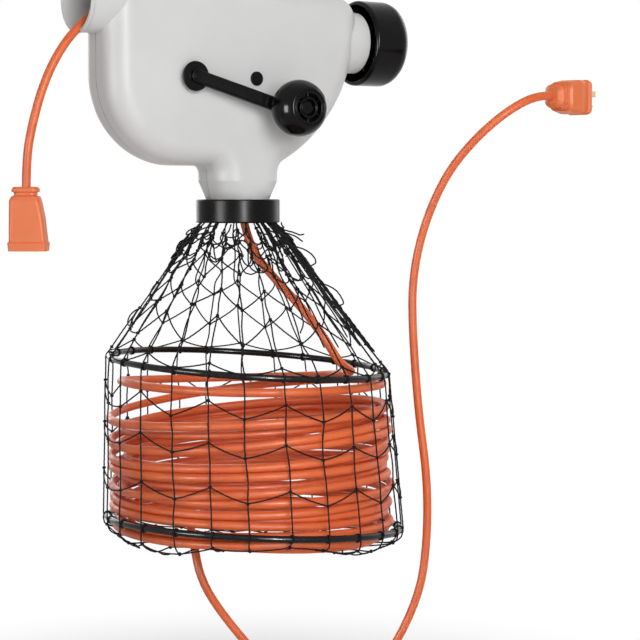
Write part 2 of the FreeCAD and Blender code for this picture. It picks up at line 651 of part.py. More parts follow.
def crank_knob():
    """Ball knob with a short shank, a flat front, and a ribbed ring recess round the pin."""
    x, z = CRANK_END_X, CRANK_END_Z
    ball = Part.makeSphere(KNOB_R, V(x, KNOB_Y, z))
    ball = ball.cut(block(x - EXTRA, x + EXTRA, KNOB_FLAT_Y - EXTRA, KNOB_FLAT_Y, z - EXTRA, z + EXTRA))
    shank = cyl_y(KNOB_SHANK_R, x, z, KNOB_Y, KNOB_BACK_Y)
    ball = ball.cut(block(x - EXTRA, x + EXTRA, KNOB_BACK_Y, KNOB_BACK_Y + EXTRA, z - EXTRA, z + EXTRA))
    knob = fuse([ball, shank])
    recess_end = KNOB_FLAT_Y + KNOB_RECESS_D
    recess = cyl_y(KNOB_RECESS_R, x, z, KNOB_FLAT_Y - 1.0, recess_end)
    ring = cyl_y(KNOB_RING_R, x, z, KNOB_FLAT_Y - 1.0, recess_end)
    ring = ring.cut(cyl_y(KNOB_RING_IN_R, x, z, KNOB_FLAT_Y - 2.0, recess_end + 1.0))
    ribs = []
    for i in range(KNOB_RIBS):
        rib = block(x + KNOB_RING_IN_R + 0.5, x + KNOB_RECESS_R + 0.5, KNOB_FLAT_Y + 1.5, recess_end,
                    z - 1.0, z + 1.0)
        rib.rotate(V(x, 0, z), V(0, 1, 0), i * 360.0 / KNOB_RIBS)
        ribs.append(rib)
    below_flat = block(x - EXTRA, x + EXTRA, KNOB_FLAT_Y - EXTRA, KNOB_FLAT_Y + 1.0,
                       z - EXTRA, z + EXTRA)
    hollow = recess.cut(fuse([ring.cut(below_flat)] + ribs))
    bore = cyl_y(KNOB_PIN_R + RUN_FIT, x, z, KNOB_FLAT_Y - 1.0, KNOB_BACK_Y + 1.0)
    return knob.cut([hollow, bore])


def pinch_yoke():
    """Fork that carries the roller: two side plates, a back plate and the spring's spigot."""
    plates = []
    outline = [
        (PIVOT_X - YOKE_EYE_R, PIVOT_Z - YOKE_EYE_R, YOKE_EYE_R * 0.9),
        (PIVOT_X + YOKE_EYE_R, PIVOT_Z - YOKE_EYE_R, YOKE_EYE_R * 0.9),
        (YOKE_FACE_X, TENSION_Z - YOKE_HALF_H, 3.0),
        (YOKE_FACE_X, TENSION_Z + YOKE_HALF_H, 3.0),
        (ROLLER_X - YOKE_EYE_R, ROLLER_Z + YOKE_EYE_R, YOKE_EYE_R * 0.6),
    ]
    for y0 in (-YOKE_OUT, YOKE_IN):
        plate = Part.Face(rounded_wire(outline)).extrude(V(0, YOKE_T, 0))
        plate.translate(V(0, y0, 0))
        plates.append(plate)
    back = block(YOKE_BACK_X, YOKE_FACE_X, -YOKE_OUT + 0.5, YOKE_OUT - 0.5,
                 TENSION_Z - YOKE_HALF_H + 3.0, TENSION_Z + YOKE_HALF_H - 3.0)
    spigot = cyl_x(SPIGOT_R, YOKE_FACE_X - 1.0, YOKE_FACE_X + SPIGOT_H, TENSION_Z)
    holes = [
        cyl_y(PIVOT_PIN_R + RUN_FIT, PIVOT_X, PIVOT_Z, -EXTRA, EXTRA),
        cyl_y(ROLLER_AXLE_R, ROLLER_X, ROLLER_Z, -EXTRA, EXTRA),
    ]
    return fuse(plates + [back, spigot]).cut(holes)


def roller_axle():
    """Pin riveted in the fork's two plates."""
    return cyl_y(ROLLER_AXLE_R, ROLLER_X, ROLLER_Z, -YOKE_OUT - 1.0, YOKE_OUT + 1.0)


def roller_hub():
    """Core of the pinch roller."""
    hub = cyl_y(ROLLER_HUB_R, ROLLER_X, ROLLER_Z, -ROLLER_HALF_W, ROLLER_HALF_W)
    return hub.cut(cyl_y(ROLLER_AXLE_R + RUN_FIT, ROLLER_X, ROLLER_Z, -EXTRA, EXTRA))


def roller_tyre():
    """Rubber sleeve on the pinch roller."""
    tyre = cyl_y(ROLLER_R, ROLLER_X, ROLLER_Z, -ROLLER_HALF_W, ROLLER_HALF_W)
    return tyre.cut(cyl_y(ROLLER_HUB_R, ROLLER_X, ROLLER_Z, -EXTRA, EXTRA))


def pivot_pin(side):
    """Headed stub pin that one plate of the fork swings on."""
    y_in, y_face = YOKE_IN + 0.5, HALF_DEPTH
    if side < 0:
        shank = cyl_y(PIVOT_PIN_R, PIVOT_X, PIVOT_Z, -y_face, -y_in)
        head = cyl_y(PIVOT_HEAD_R, PIVOT_X, PIVOT_Z, -y_face - PIVOT_HEAD_H, -y_face)
        face_y = -y_face - PIVOT_HEAD_H
    else:
        shank = cyl_y(PIVOT_PIN_R, PIVOT_X, PIVOT_Z, y_in, y_face)
        head = cyl_y(PIVOT_HEAD_R, PIVOT_X, PIVOT_Z, y_face, y_face + PIVOT_HEAD_H)
        face_y = y_face + PIVOT_HEAD_H
    rim = [e for e in head.Edges if abs(e.BoundBox.Center.y - face_y) < 1e-3]
    return head.makeFillet(0.7, rim).fuse(shank).removeSplitter()


def tension_screw():
    """Screw with a thrust flange inside the boss; its outer end is keyed in the knob."""
    shaft = cyl_x(SCREW_R, SCREW_IN_X, BOSS_END_X + CAP_LEN - CAP_WALL, TENSION_Z)
    flange_x = BOSS_END_X - BOSS_WALL - 2 * GAP
    flange = cyl_x(SCREW_FLANGE_R, flange_x - SCREW_FLANGE_T, flange_x, TENSION_Z)
    return fuse([shaft, flange])


def spring_seat():
    """Nut that slides between the rails and pushes the spring."""
    plate = block(SEAT_X, SEAT_X + SEAT_T, -SEAT_HALF_W, SEAT_HALF_W,
                  TENSION_Z - SEAT_HALF_H, TENSION_Z + SEAT_HALF_H)
    spigot = cyl_x(SPIGOT_R, SEAT_X - SPIGOT_H, SEAT_X + 1.0, TENSION_Z)
    bore = cyl_x(SCREW_R + RUN_FIT, SEAT_X - SPIGOT_H - 1.0, SEAT_X + SEAT_T + 1.0, TENSION_Z)
    return fuse([plate, spigot]).cut(bore)


def tension_knob():
    """Large cup-shaped knob: domed end, ribbed inside, with a hub on the screw."""
    x0 = BOSS_END_X + 2 * GAP
    x1 = x0 + CAP_LEN
    cup = cyl_x(CAP_R, x0, x1, TENSION_Z)
    far = [e for e in cup.Edges if e.BoundBox.XMin > x1 - 1e-3]
    near = [e for e in cup.Edges if e.BoundBox.XMax < x0 + 1e-3]
    cup = cup.makeFillet(CAP_FAR_R, far).makeFillet(CAP_NEAR_R, near)
    hollow = cyl_x(CAP_R - CAP_WALL, x0 - 1.0, x1 - CAP_WALL, TENSION_Z)
    end = [e for e in hollow.Edges if e.BoundBox.XMin > x1 - CAP_WALL - 1e-3]
    hollow = hollow.makeFillet(CAP_FAR_R - CAP_WALL, end)
    hub = cyl_x(CAP_HUB_R, x0, x1 - CAP_WALL / 2, TENSION_Z)
    ribs = []
    for i in range(CAP_RIBS):
        rib = block(x0 + CAP_NEAR_R + 9.0, x1 - CAP_WALL / 2, -1.2, 1.2,
                    TENSION_Z + CAP_HUB_R - 1.0, TENSION_Z + CAP_R - CAP_FAR_R)
        rib.rotate(V(0, 0, TENSION_Z), V(1, 0, 0), i * 360.0 / CAP_RIBS)
        ribs.append(rib)
    knob = fuse([cup.cut(hollow), hub] + ribs)
    bore = cyl_x(SCREW_R, x0 - 1.0, BOSS_END_X + CAP_LEN - CAP_WALL, TENSION_Z)
    return knob.cut(bore)


def neck_collar():
    """Bayonet collar: web over the lugs, skirt, and a lip that carries the bag's ring."""
    top, low = COLLAR_TOP_Z - SEAT, COLLAR_TOP_Z - COLLAR_H
    body = cyl_z(COLLAR_R, low, top)
    body = body.makeFillet(1.6, [e for e in body.Edges if e.BoundBox.ZMax - e.BoundBox.ZMin < 1e-3])
    skirt_r = COLLAR_R - COLLAR_WALL
    hollow = cyl_z(skirt_r, low + COLLAR_LIP_H, top - COLLAR_WEB)
    lip_bore = cyl_z(skirt_r - COLLAR_LIP_IN, low - 1.0, low + COLLAR_LIP_H + 1.0)
    web_bore = cyl_z(NECK_R + GAP, top - COLLAR_WEB - 1.0, top + 1.0)
    notches = []
    for i in range(LUG_COUNT):
        deg = 90.0 + (i + 0.5) * 360.0 / LUG_COUNT
        notch = cyl_z(NECK_R + LUG_OUT + GAP, top - COLLAR_WEB - 1.0, top + 1.0)
        notches.append(notch.common(wedge(deg, LUG_DEG + 4.0, top - EXTRA, top + EXTRA, COLLAR_R)))
    return body.cut([hollow, lip_bore, web_bore] + notches)


def bag_ring():
    """Ring that the net's top edge is tied to; it lies on the collar's lip."""
    low = COLLAR_TOP_Z - COLLAR_H + COLLAR_LIP_H + GAP
    ring = cyl_z(RING_OUT_R, low, low + RING_H)
    return ring.cut(cyl_z(NET_TOP_R, low - 1.0, low + RING_H + 1.0))


def in_bag(along, across, height):
    """A point of the bag's turned plane: along is to the right of it, across towards its front."""
    turn = math.radians(BAG_TURN)
    return V(along * math.cos(turn) - across * math.sin(turn),
             -along * math.sin(turn) - across * math.cos(turn), height)


def hoop_plane(top):
    """Centre and upward normal of a hoop: its right end hangs lower, its front a little higher."""
    if top:
        centre = in_bag(TOP_HOOP_AT, 0, TOP_HOOP_Z)
        fall, rise, radius = TOP_HOOP_FALL, TOP_HOOP_RISE, TOP_HOOP_R
    else:
        centre = in_bag(LOW_HOOP_AT, 0, LOW_HOOP_Z)
        fall, rise, radius = LOW_HOOP_FALL, LOW_HOOP_RISE, LOW_HOOP_R
    return centre, in_bag(fall / radius, -rise / radius, 1.0).normalize()


def hoop(top):
    """Bent and welded wire hoop."""
    centre, up = hoop_plane(top)
    return Part.makeTorus(TOP_HOOP_R if top else LOW_HOOP_R, HOOP_WIRE_R, centre, up)


def net_band(upper, lower):
    """Thin skin between two circles, each given as (centre, axis, radius)."""
    skins = []
    for depth in (0.0, NET_T):
        wires = []
        for centre, axis, radius in (upper, lower):
            wires.append(Part.Wire(Part.Circle(centre, axis, radius - depth).toShape()))
        skins.append(Part.makeLoft(wires, True, True))
    return skins[0].cut(skins[1])


def net_cone():
    """Upper net, from the ring in the collar out to the top hoop."""
    up = V(0, 0, 1)
    neck = (V(0, 0, NET_TOP_Z + RING_H), up, NET_TOP_R - SEAT)
    knee = (V(0, 0, COLLAR_TOP_Z - COLLAR_H - 1.0), up, NET_TOP_R - SEAT)
    return fuse([net_band(neck, knee), net_band(knee, hoop_plane(True) + (TOP_NET_R,))])


def net_side():
    """Net wall between the two hoops."""
    return net_band(hoop_plane(True) + (TOP_NET_R,), hoop_plane(False) + (LOW_NET_R,))


def net_bottom(cord):
    """Sagging net floor under the lower hoop, with the gap that the cord leaves by."""
    skins = []
    for depth in (0.0, NET_T):
        wall_r = LOW_NET_R - depth
        profile = [
            V(0, 0, 0),
            V(wall_r, 0, 0),
            V(wall_r - FLOOR_WALL_IN, 0, -FLOOR_WALL_DROP),
            V(wall_r - FLOOR_EDGE_IN, 0, -FLOOR_EDGE_DROP + depth),
            V(LOW_HOOP_R / 2, 0, -FLOOR_DROP + depth),
            V(0, 0, -FLOOR_MIDDLE_DROP + depth),
        ]
        face = Part.Face(Part.makePolygon(profile + [profile[0]]))
        skins.append(face.revolve(V(0, 0, 0), V(0, 0, 1), 360))
    dish = skins[0].cut(skins[1])
    centre, up = hoop_plane(False)
    dish.Placement = FreeCAD.Placement(centre, FreeCAD.Rotation(V(0, 0, 1), up))
    return dish.cut(cord)


def tube(edges, start, heading, radius):
    """Round tube along connected edges."""
    section = Part.Wire(Part.Circle(start, heading, radius).toShape())
    return Part.Wire(edges).makePipeShell([section], True, False)


def route_tube(name, points, diameter):
    """Tube of straight runs and tangent arcs through a route's corners."""
    edges = []
    radii = []
    last = points[0]
    for i in range(1, len(points) - 1):
        back, ahead = points[i - 1] - points[i], points[i + 1] - points[i]
        turn = math.pi - back.getAngle(ahead)
        leg = 0.45 * min(back.Length, ahead.Length)
        radii.append(leg / math.tan(turn / 2) / diameter)
        start = points[i] + V(back).normalize() * leg
        end = points[i] + V(ahead).normalize() * leg
        edges.append(Part.LineSegment(last, start).toShape())
        edges.append(Part.Arc(start, arc_middle(start, points[i], end), end).toShape())
        last = end
    edges.append(Part.LineSegment(last, points[-1]).toShape())
    length = sum(e.Length for e in edges)
    solid = tube(edges, points[0], points[1] - points[0], diameter / 2)
    share = solid.Volume / (math.pi * diameter ** 2 / 4 * length)
    print(name, "length", round(length, 1), "least radius in diameters", round(min(radii), 2),
          "volume share", round(share, 4))
    print("  radii", [round(r, 1) for r in radii])
    return solid


def smooth(x):
    """0 below 0, 1 above 1, smooth between."""
    x = max(0.0, min(1.0, x))
    return x * x * (3 - 2 * x)


def coil_point(turn):
    """Centreline of the cord that lies in the bag, at a number of turns from its left end."""
    angle = 2 * math.pi * turn
    settled = smooth(turn - 1.0)
    middle = COIL_REF_Z - COIL_PITCH * (turn - COIL_REF_TURN) + COIL_TOP_RISE * (1 - settled)
    fan = (COIL_FAN if turn < COIL_FAN_MID else COIL_FAN_LOW) * (COIL_FAN_MID - turn) * settled
    radius = COIL_START_R + (COIL_TOP_R - COIL_START_R) * smooth((turn - 0.4) / 0.7)
    radius += (COIL_R - COIL_TOP_R) * smooth((turn - 0.9) / 0.9)
    radius += (COIL_END_R - COIL_R) * smooth((turn - COIL_TO + 1.3) / 1.3)
    radius += COIL_STAGGER * math.cos(math.pi * turn) * settled
    share = (TOP_HOOP_Z - middle) / (TOP_HOOP_Z - LOW_HOOP_Z)
    at = TOP_HOOP_AT + (LOW_HOOP_AT - TOP_HOOP_AT) * share
    return in_bag(at - radius * math.cos(angle), radius * math.sin(angle),
                  middle - fan * math.cos(angle))


def heading(path, t):
    """Unit tangent of a path given by a function."""
    step = 1e-4
    return (path(t + step) - path(t - step)).normalize()


def biarc(p0, t0, p1, t1):
    """Two arcs that leave p0 along t0 and reach p1 along t1."""
    chord = p1 - p0
    both = t0 + t1
    spread = 2 * (1 - t0.dot(t1))
    b = chord.dot(both)
    reach = (math.sqrt(b * b + spread * chord.dot(chord)) - b) / spread
    q0, q1 = p0 + t0 * reach, p1 - t1 * reach
    joint = (q0 + q1) * 0.5
    return [Part.Arc(p0, arc_middle(p0, q0, joint), joint).toShape(),
            Part.Arc(joint, arc_middle(joint, q1, p1), p1).toShape()]


def winding(name, path, first, last, radius, steps_per_turn=4):
    """Tube along a winding: quarter turns as biarcs, with a short straight run at each end."""
    count = int(round((last - first) * steps_per_turn))
    stops = [first + (last - first) * i / count for i in range(count + 1)]
    start, end = path(first), path(last)
    t_start, t_end = heading(path, first), heading(path, last)
    edges = [Part.LineSegment(start - t_start * (2 * radius), start).toShape()]
    for a, b in zip(stops, stops[1:]):
        edges += biarc(path(a), heading(path, a), path(b), heading(path, b))
    edges.append(Part.LineSegment(end, end + t_end * (2 * radius)).toShape())
    length = sum(e.Length for e in edges)
    solid = tube(edges, start - t_start * (2 * radius), t_start, radius)
    share = solid.Volume / (math.pi * radius ** 2 * length)
    print(name, "length", round(length, 1), "volume share", round(share, 4),
          "least gap", round(least_gap(edges, radius), 3))
    return solid


def least_gap(edges, radius):
    """Least gap between turns of a winding, from points along its centreline."""
    spacing = radius / 2
    points = []
    travelled = []
    run = 0.0
    for edge in edges:
        count = max(2, int(edge.Length / spacing))
        for p in edge.discretize(count)[:-1]:
            points.append((p.x, p.y, p.z))
            travelled.append(run)
            run += edge.Length / (count - 1)
    cells = {}
    cell = 4 * radius
    for i, p in enumerate(points):
        cells.setdefault(tuple(int(c // cell) for c in p), []).append(i)
    best = cell
    for (a, b, c), members in cells.items():
        near = []
        for da in (-1, 0, 1):
            for db in (-1, 0, 1):
                for dc in (-1, 0, 1):
                    near += cells.get((a + da, b + db, c + dc), [])
        for i in members:
            for j in near:
                if travelled[j] - travelled[i] > 8 * radius:
                    best = min(best, math.dist(points[i], points[j]))
    return best - 2 * radius


def pressure_spring():
    """Open coil spring between the fork's back plate and the seat."""
    x0, x1 = YOKE_FACE_X + GAP, SEAT_X - GAP
    pitch = (x1 - x0 - 2 * SPRING_WIRE_R) / SPRING_TURNS

    def path(turn):
        angle = 2 * math.pi * turn
        return V(x0 + SPRING_WIRE_R + pitch * turn, SPRING_R * math.cos(angle),
                 TENSION_Z + SPRING_R * math.sin(angle))

    margin = 0.1
    return winding("spring", path, margin, SPRING_TURNS - margin, SPRING_WIRE_R)


def lead_route():
    """Cord from inside the mouth, over its lower lip and down to the connector."""
    return [V(-150, 0, -86), V(-172, -2, -97), V(-201, -7, -122), V(-219, -6, -158),
            V(-229, -4, -202), V(-231.5, -2, -230), V(-231.5, -2, -CONNECTOR_DROP)]


def drive_route():
    """Cord through the housing: in at the mouth, over the wheel, past the roller, out of the neck."""
    x, z, r = AXLE_X, AXLE_Z, CORD_PATH_R
    top = V(x, 0, z + r)
    side = V(x + r, 0, z)
    start = lead_route()[0]
    wrap = Part.Arc(top, V(x + r * math.sin(math.pi / 4), 0, z + r * math.cos(math.pi / 4)), side)
    return start, top, wrap, side


def cord_inner():
    """The stretch inside the housing, as one tube."""
    lead = lead_route()
    start, top, wrap, side = drive_route()
    heading_in = (lead[0] - lead[1]).normalize()
    level = V(1, 0, 0)
    edges = biarc(start, heading_in, top, level)
    edges.append(wrap.toShape())
    down = V(0, 0, -1)
    exit_point = drop_route()[0]
    exit_heading = (drop_route()[1] - exit_point).normalize()
    middle = V((side.x + exit_point.x) / 2, 0, (side.z + exit_point.z) / 2)
    lean = V(exit_point.x - side.x, 0, (exit_point.z - side.z) * 0.75).normalize()
    edges += biarc(side, down, middle, lean)
    edges += biarc(middle, lean, exit_point, exit_heading)
    solid = tube(edges, start, heading_in, CORD_D / 2)
    length = sum(e.Length for e in edges)
    print("cord inside", round(length, 1), "volume share",
          round(solid.Volume / (math.pi * CORD_D ** 2 / 4 * length), 4))
    return solid


def drop_route():
    """Cord from the neck down through the upper net to the first loop."""
    first = coil_point(COIL_FROM)
    back = heading(coil_point, COIL_FROM)
    tail_in = first - back * CORD_D
    return [in_bag(6.5, 0, COLLAR_TOP_Z - COLLAR_H), in_bag(11, 4, -318), in_bag(31, 26, -345),
            in_bag(54, 51, -373), in_bag(77, 67, -403), in_bag(97, 61, -427),
            tail_in - back * 25.0, tail_in]


def tail_route():
    """Cord from the last loop, out through the net floor and round to the plug."""
    last = coil_point(COIL_TO)
    ahead = heading(coil_point, COIL_TO)
    start = last + ahead * CORD_D
    under = [(120, -66, -605), (72, -99, -602.5), (14, -103, -599), (-34, -72, -594),
             (-54, -26, -593), (-50, 12, -608), (-38, 26, -644)]
    loop = [(-8, 14, -688), (32, 8, -740), (66, 2, -761), (110, 0, -762), (145, 0, -737),
            (180, 0, -671), (189.5, 0, -612), (190, 0, -550)]
    rise = [(181, 0, -480), (174.5, 0, -400), (174, 0, -347), (185.5, 4, -294), (206, 15, -243),
            (235, 27, -205), (268, 32, -178)]
    between = [in_bag(*p) for p in under + loop + rise]
    plug, axis = plug_frame()[:2]
    return [start, start + ahead * COIL_RUN] + between + [plug - axis * PLUG_RUN, plug]


def rounded_rect(centre, right, up, half_w, half_h, r):
    """Wire of a rounded rectangle in the plane of right and up."""
    edges = []
    arcs = []
    for sx, sy, a0 in ((1, 1, 0), (-1, 1, 90), (-1, -1, 180), (1, -1, 270)):
        c = centre + right * (sx * (half_w - r)) + up * (sy * (half_h - r))
        pts = []
        for d in (a0, a0 + 45, a0 + 90):
            turn = math.radians(d)
            pts.append(c + right * (r * math.cos(turn)) + up * (r * math.sin(turn)))
        arcs.append(pts)
    for i in range(4):
        edges.append(Part.Arc(*arcs[i]).toShape())
        edges.append(Part.LineSegment(arcs[i][2], arcs[(i + 1) % 4][0]).toShape())
    return Part.Wire(edges)


def stacked(origin, axis, right, up, sections):
    """Solid from rounded rectangles at distances along an axis: (distance, half w, half h, r, shift)."""
    slices = []
    for (d0, w0, h0, r0, s0), (d1, w1, h1, r1, s1) in zip(sections, sections[1:]):
        first = rounded_rect(origin + axis * d0 + right * s0, right, up, w0, h0, r0)
        second = rounded_rect(origin + axis * d1 + right * s1, right, up, w1, h1, r1)
        slices.append(Part.makeLoft([first, second], True, True))
    return fuse(slices)


def connector_frame():
    """Start, axis, right and front directions of the hanging connector."""
    end = lead_route()[-1]
    turn = math.radians(BAG_TURN)
    return end, V(0, 0, -1), V(math.cos(turn), -math.sin(turn), 0), V(math.sin(turn), math.cos(turn), 0)


def cord_connector():
    """Moulded female connector: grooved neck, flat body that widens, and its three slots."""
    origin, axis, right, front = connector_frame()
    body = stacked(origin, axis, right, front, [
        (0.0, 11.0, 9.0, 5.0, -0.5),
        (2.0, 12.5, 10.0, 5.0, -0.5),
        (4.5, 12.5, 10.0, 5.0, -0.5),
        (5.5, 10.5, 8.5, 5.0, -0.5),
        (8.0, 10.5, 8.5, 5.0, -0.5),
        (9.0, 13.0, 10.5, 5.0, -0.5),
        (13.0, 14.5, 11.5, 4.0, -0.7),
        (29.0, 16.0, 12.5, 3.5, 0.8),
        (51.0, 17.2, 13.0, 3.0, 1.8),
        (52.5, 18.4, 14.0, 3.0, 1.8),
        (CONNECTOR_LEN, 17.6, 13.4, 3.0, 1.8),
    ])
    centre = origin + axis * CONNECTOR_LEN + right * 1.8
    cuts = []
    depth = 16.0
    for side, half_h in ((-1, 3.4), (1, 4.0)):
        slot = rounded_rect(centre + right * (side * BLADE_SPACING / 2) + front * 2.5, right, front,
                            1.0, half_h, 0.4)
        cuts.append(Part.Face(slot).extrude(axis * -depth))
    ground = centre - front * 7.0
    cuts.append(Part.makeCylinder(GROUND_PIN_R + 0.3, depth, ground, axis * -1.0))
    return body.cut(cuts)


def plug_frame():
    """Start, axis, side and up directions of the plug."""
    axis = V(PLUG_DIR[0], PLUG_DIR[1], 0).normalize()
    return in_bag(PLUG_ALONG, 0, PLUG_Z), axis, V(axis.y, -axis.x, 0), V(0, 0, 1)


def cord_plug():
    """Moulded plug: ribbed tapering grip that widens to the face of the blades."""
    origin, axis, side, up = plug_frame()
    sections = [(0.0, 7.0, 7.0, 6.5, 0.0), (3.0, 9.5, 10.0, 7.0, 0.0)]
    for i in range(3):
        at = 4.5 + 4.0 * i
        sections += [(at, 11.0 + i * 0.6, 11.5 + i * 0.7, 7.0, 0.0),
                     (at + 1.4, 11.0 + i * 0.6, 11.5 + i * 0.7, 7.0, 0.0),
                     (at + 2.0, 9.8 + i * 0.6, 10.3 + i * 0.7, 7.0, 0.0),
                     (at + 3.2, 9.8 + i * 0.6, 10.3 + i * 0.7, 7.0, 0.0)]
    sections += [(18.0, 13.5, 14.5, 6.0, 0.0), (34.0, 14.5, 17.0, 5.0, 0.0),
                 (40.0, 14.0, 17.0, 5.0, 0.0), (43.0, 12.5, 16.0, 5.0, 0.0),
                 (48.0, 12.5, 16.0, 5.0, 0.0), (50.0, 14.0, 17.6, 5.0, 0.0),
                 (PLUG_LEN, 13.5, 17.0, 5.0, 0.0)]
    return stacked(origin, axis, side, up, sections).cut(plug_blades())


def plug_blades():
    """Two flat blades and a round ground pin, held in the plug."""
    origin, axis, side, up = plug_frame()
    face = origin + axis * (PLUG_LEN - BLADE_ROOT)
    length = BLADE_LEN + BLADE_ROOT
    pins = []
    for sign in (-1, 1):
        blade = rounded_rect(face + side * (sign * BLADE_SPACING / 2) + up * 4.0, side, up,
                             BLADE_T / 2, BLADE_W / 2, 0.3)
        pins.append(Part.Face(blade).extrude(axis * length))
    ground = face + up * (4.0 - GROUND_DROP)
    root = Part.makeCylinder(GROUND_ROOT_R, BLADE_ROOT, ground, axis)
    pin = Part.makeCylinder(GROUND_PIN_R, GROUND_PIN_LEN, ground + axis * BLADE_ROOT, axis)
    pins.append(fuse([root, pin]))
    return group(pins)


def build():
    """Every node by name."""
    outer = housing_outer()
    hollow_shell = outer.cut(housing_inner())
    tail = route_tube("tail", tail_route(), CORD_D)
    wide_tail = route_tube("gap in the net", tail_route()[5:11], CORD_D + 2.0)
    nodes = {
        "front_shell": shell_half(-1, outer, hollow_shell),
        "rear_shell": shell_half(1, outer, hollow_shell),
        "case_screws": case_screws(),
        "carry_handle": carry_handle(),
        "axle_bush_front": bush(True),
        "axle_bush_rear": bush(False),
        "drive_axle": drive_axle(),
        "drive_wheel": drive_wheel_hub(),
        "drive_tyre": drive_tyre(),
        "crank_arm": crank_arm(),
        "crank_screw": crank_screw(),
        "knob_pin": knob_pin(),
        "crank_knob": crank_knob(),
        "pinch_yoke": pinch_yoke(),
        "roller_axle": roller_axle(),
        "roller_hub": roller_hub(),
        "roller_tyre": roller_tyre(),
        "yoke_pivot_front": pivot_pin(-1),
        "yoke_pivot_rear": pivot_pin(1),
        "tension_knob": tension_knob(),
        "tension_screw": tension_screw(),
        "spring_seat": spring_seat(),
        "pressure_spring": pressure_spring(),
        "neck_collar": neck_collar(),
        "bag_ring": bag_ring(),
        "net_cone": net_cone(),
        "net_side": net_side(),
        "net_bottom": net_bottom(wide_tail),
        "top_hoop": hoop(True),
        "bottom_hoop": hoop(False),
        "cord_lead": route_tube("lead", lead_route(), CORD_D),
        "cord_inner": cord_inner(),
        "cord_drop": route_tube("drop", drop_route(), CORD_D),
        "cord_coil": winding("coil", coil_point, COIL_FROM, COIL_TO, CORD_D / 2),
        "cord_tail": tail,
        "cord_connector": cord_connector(),
        "cord_plug": cord_plug(),
        "plug_blades": plug_blades(),
    }
    return nodes


def main():
    os.makedirs("parts", exist_ok=True)
    for name, shape in build().items():
        if not shape.isValid():
            print("not valid:", name)
        shape.exportStep("parts/" + name + ".step")


main()
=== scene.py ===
import math
import random
import bmesh
import bpy
import numpy as np
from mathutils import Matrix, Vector


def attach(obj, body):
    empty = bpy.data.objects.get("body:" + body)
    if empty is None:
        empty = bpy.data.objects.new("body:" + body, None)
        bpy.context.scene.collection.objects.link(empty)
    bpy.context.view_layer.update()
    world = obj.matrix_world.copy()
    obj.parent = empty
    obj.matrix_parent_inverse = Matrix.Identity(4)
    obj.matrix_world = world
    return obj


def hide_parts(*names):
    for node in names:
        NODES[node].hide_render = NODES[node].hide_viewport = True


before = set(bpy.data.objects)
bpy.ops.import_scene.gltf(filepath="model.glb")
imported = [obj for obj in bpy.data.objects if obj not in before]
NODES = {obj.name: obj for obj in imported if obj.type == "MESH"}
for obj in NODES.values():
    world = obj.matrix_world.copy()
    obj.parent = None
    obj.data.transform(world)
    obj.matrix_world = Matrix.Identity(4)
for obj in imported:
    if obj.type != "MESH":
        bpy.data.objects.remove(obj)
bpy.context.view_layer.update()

MM = 0.001
scene = bpy.context.scene

# Sizes that the part's source gives, in millimetres
CORD_D = 8.4
HOOP_WIRE_R = 3.25
TOP_HOOP = {"r": 138.3, "at": 10.0, "z": -433.0, "fall": 9.3, "rise": 0.0}
LOW_HOOP = {"r": 147.0, "at": 15.5, "z": -592.0, "fall": 7.0, "rise": 8.0}

# The bag, the cord and the lamps are placed in a frame that is turned about Z to face the camera
VIEW_TURN = math.radians(33.5)


def facing(right, out, up):
    """A point from its distances to the right, out towards the camera, and up."""
    return Vector((right * math.cos(VIEW_TURN) - out * math.sin(VIEW_TURN),
                   -right * math.sin(VIEW_TURN) - out * math.cos(VIEW_TURN), up))


def in_bag(right, out, up):
    """The same in metres, from millimetres."""
    return facing(right, out, up) * MM


def smooth(x):
    """0 below 0, 1 above 1, smooth between, for a number or an array."""
    x = np.clip(x, 0.0, 1.0)
    return x * x * (3 - 2 * x)


# Materials

WHITE = (1, 1, 1, 1)


def add_node(tree, kind, **inputs):
    """A new shader node of that kind, with values for its inputs."""
    node = tree.nodes.new("ShaderNode" + kind)
    for key, value in inputs.items():
        node.inputs[key.replace("_", " ")].default_value = value
    return node


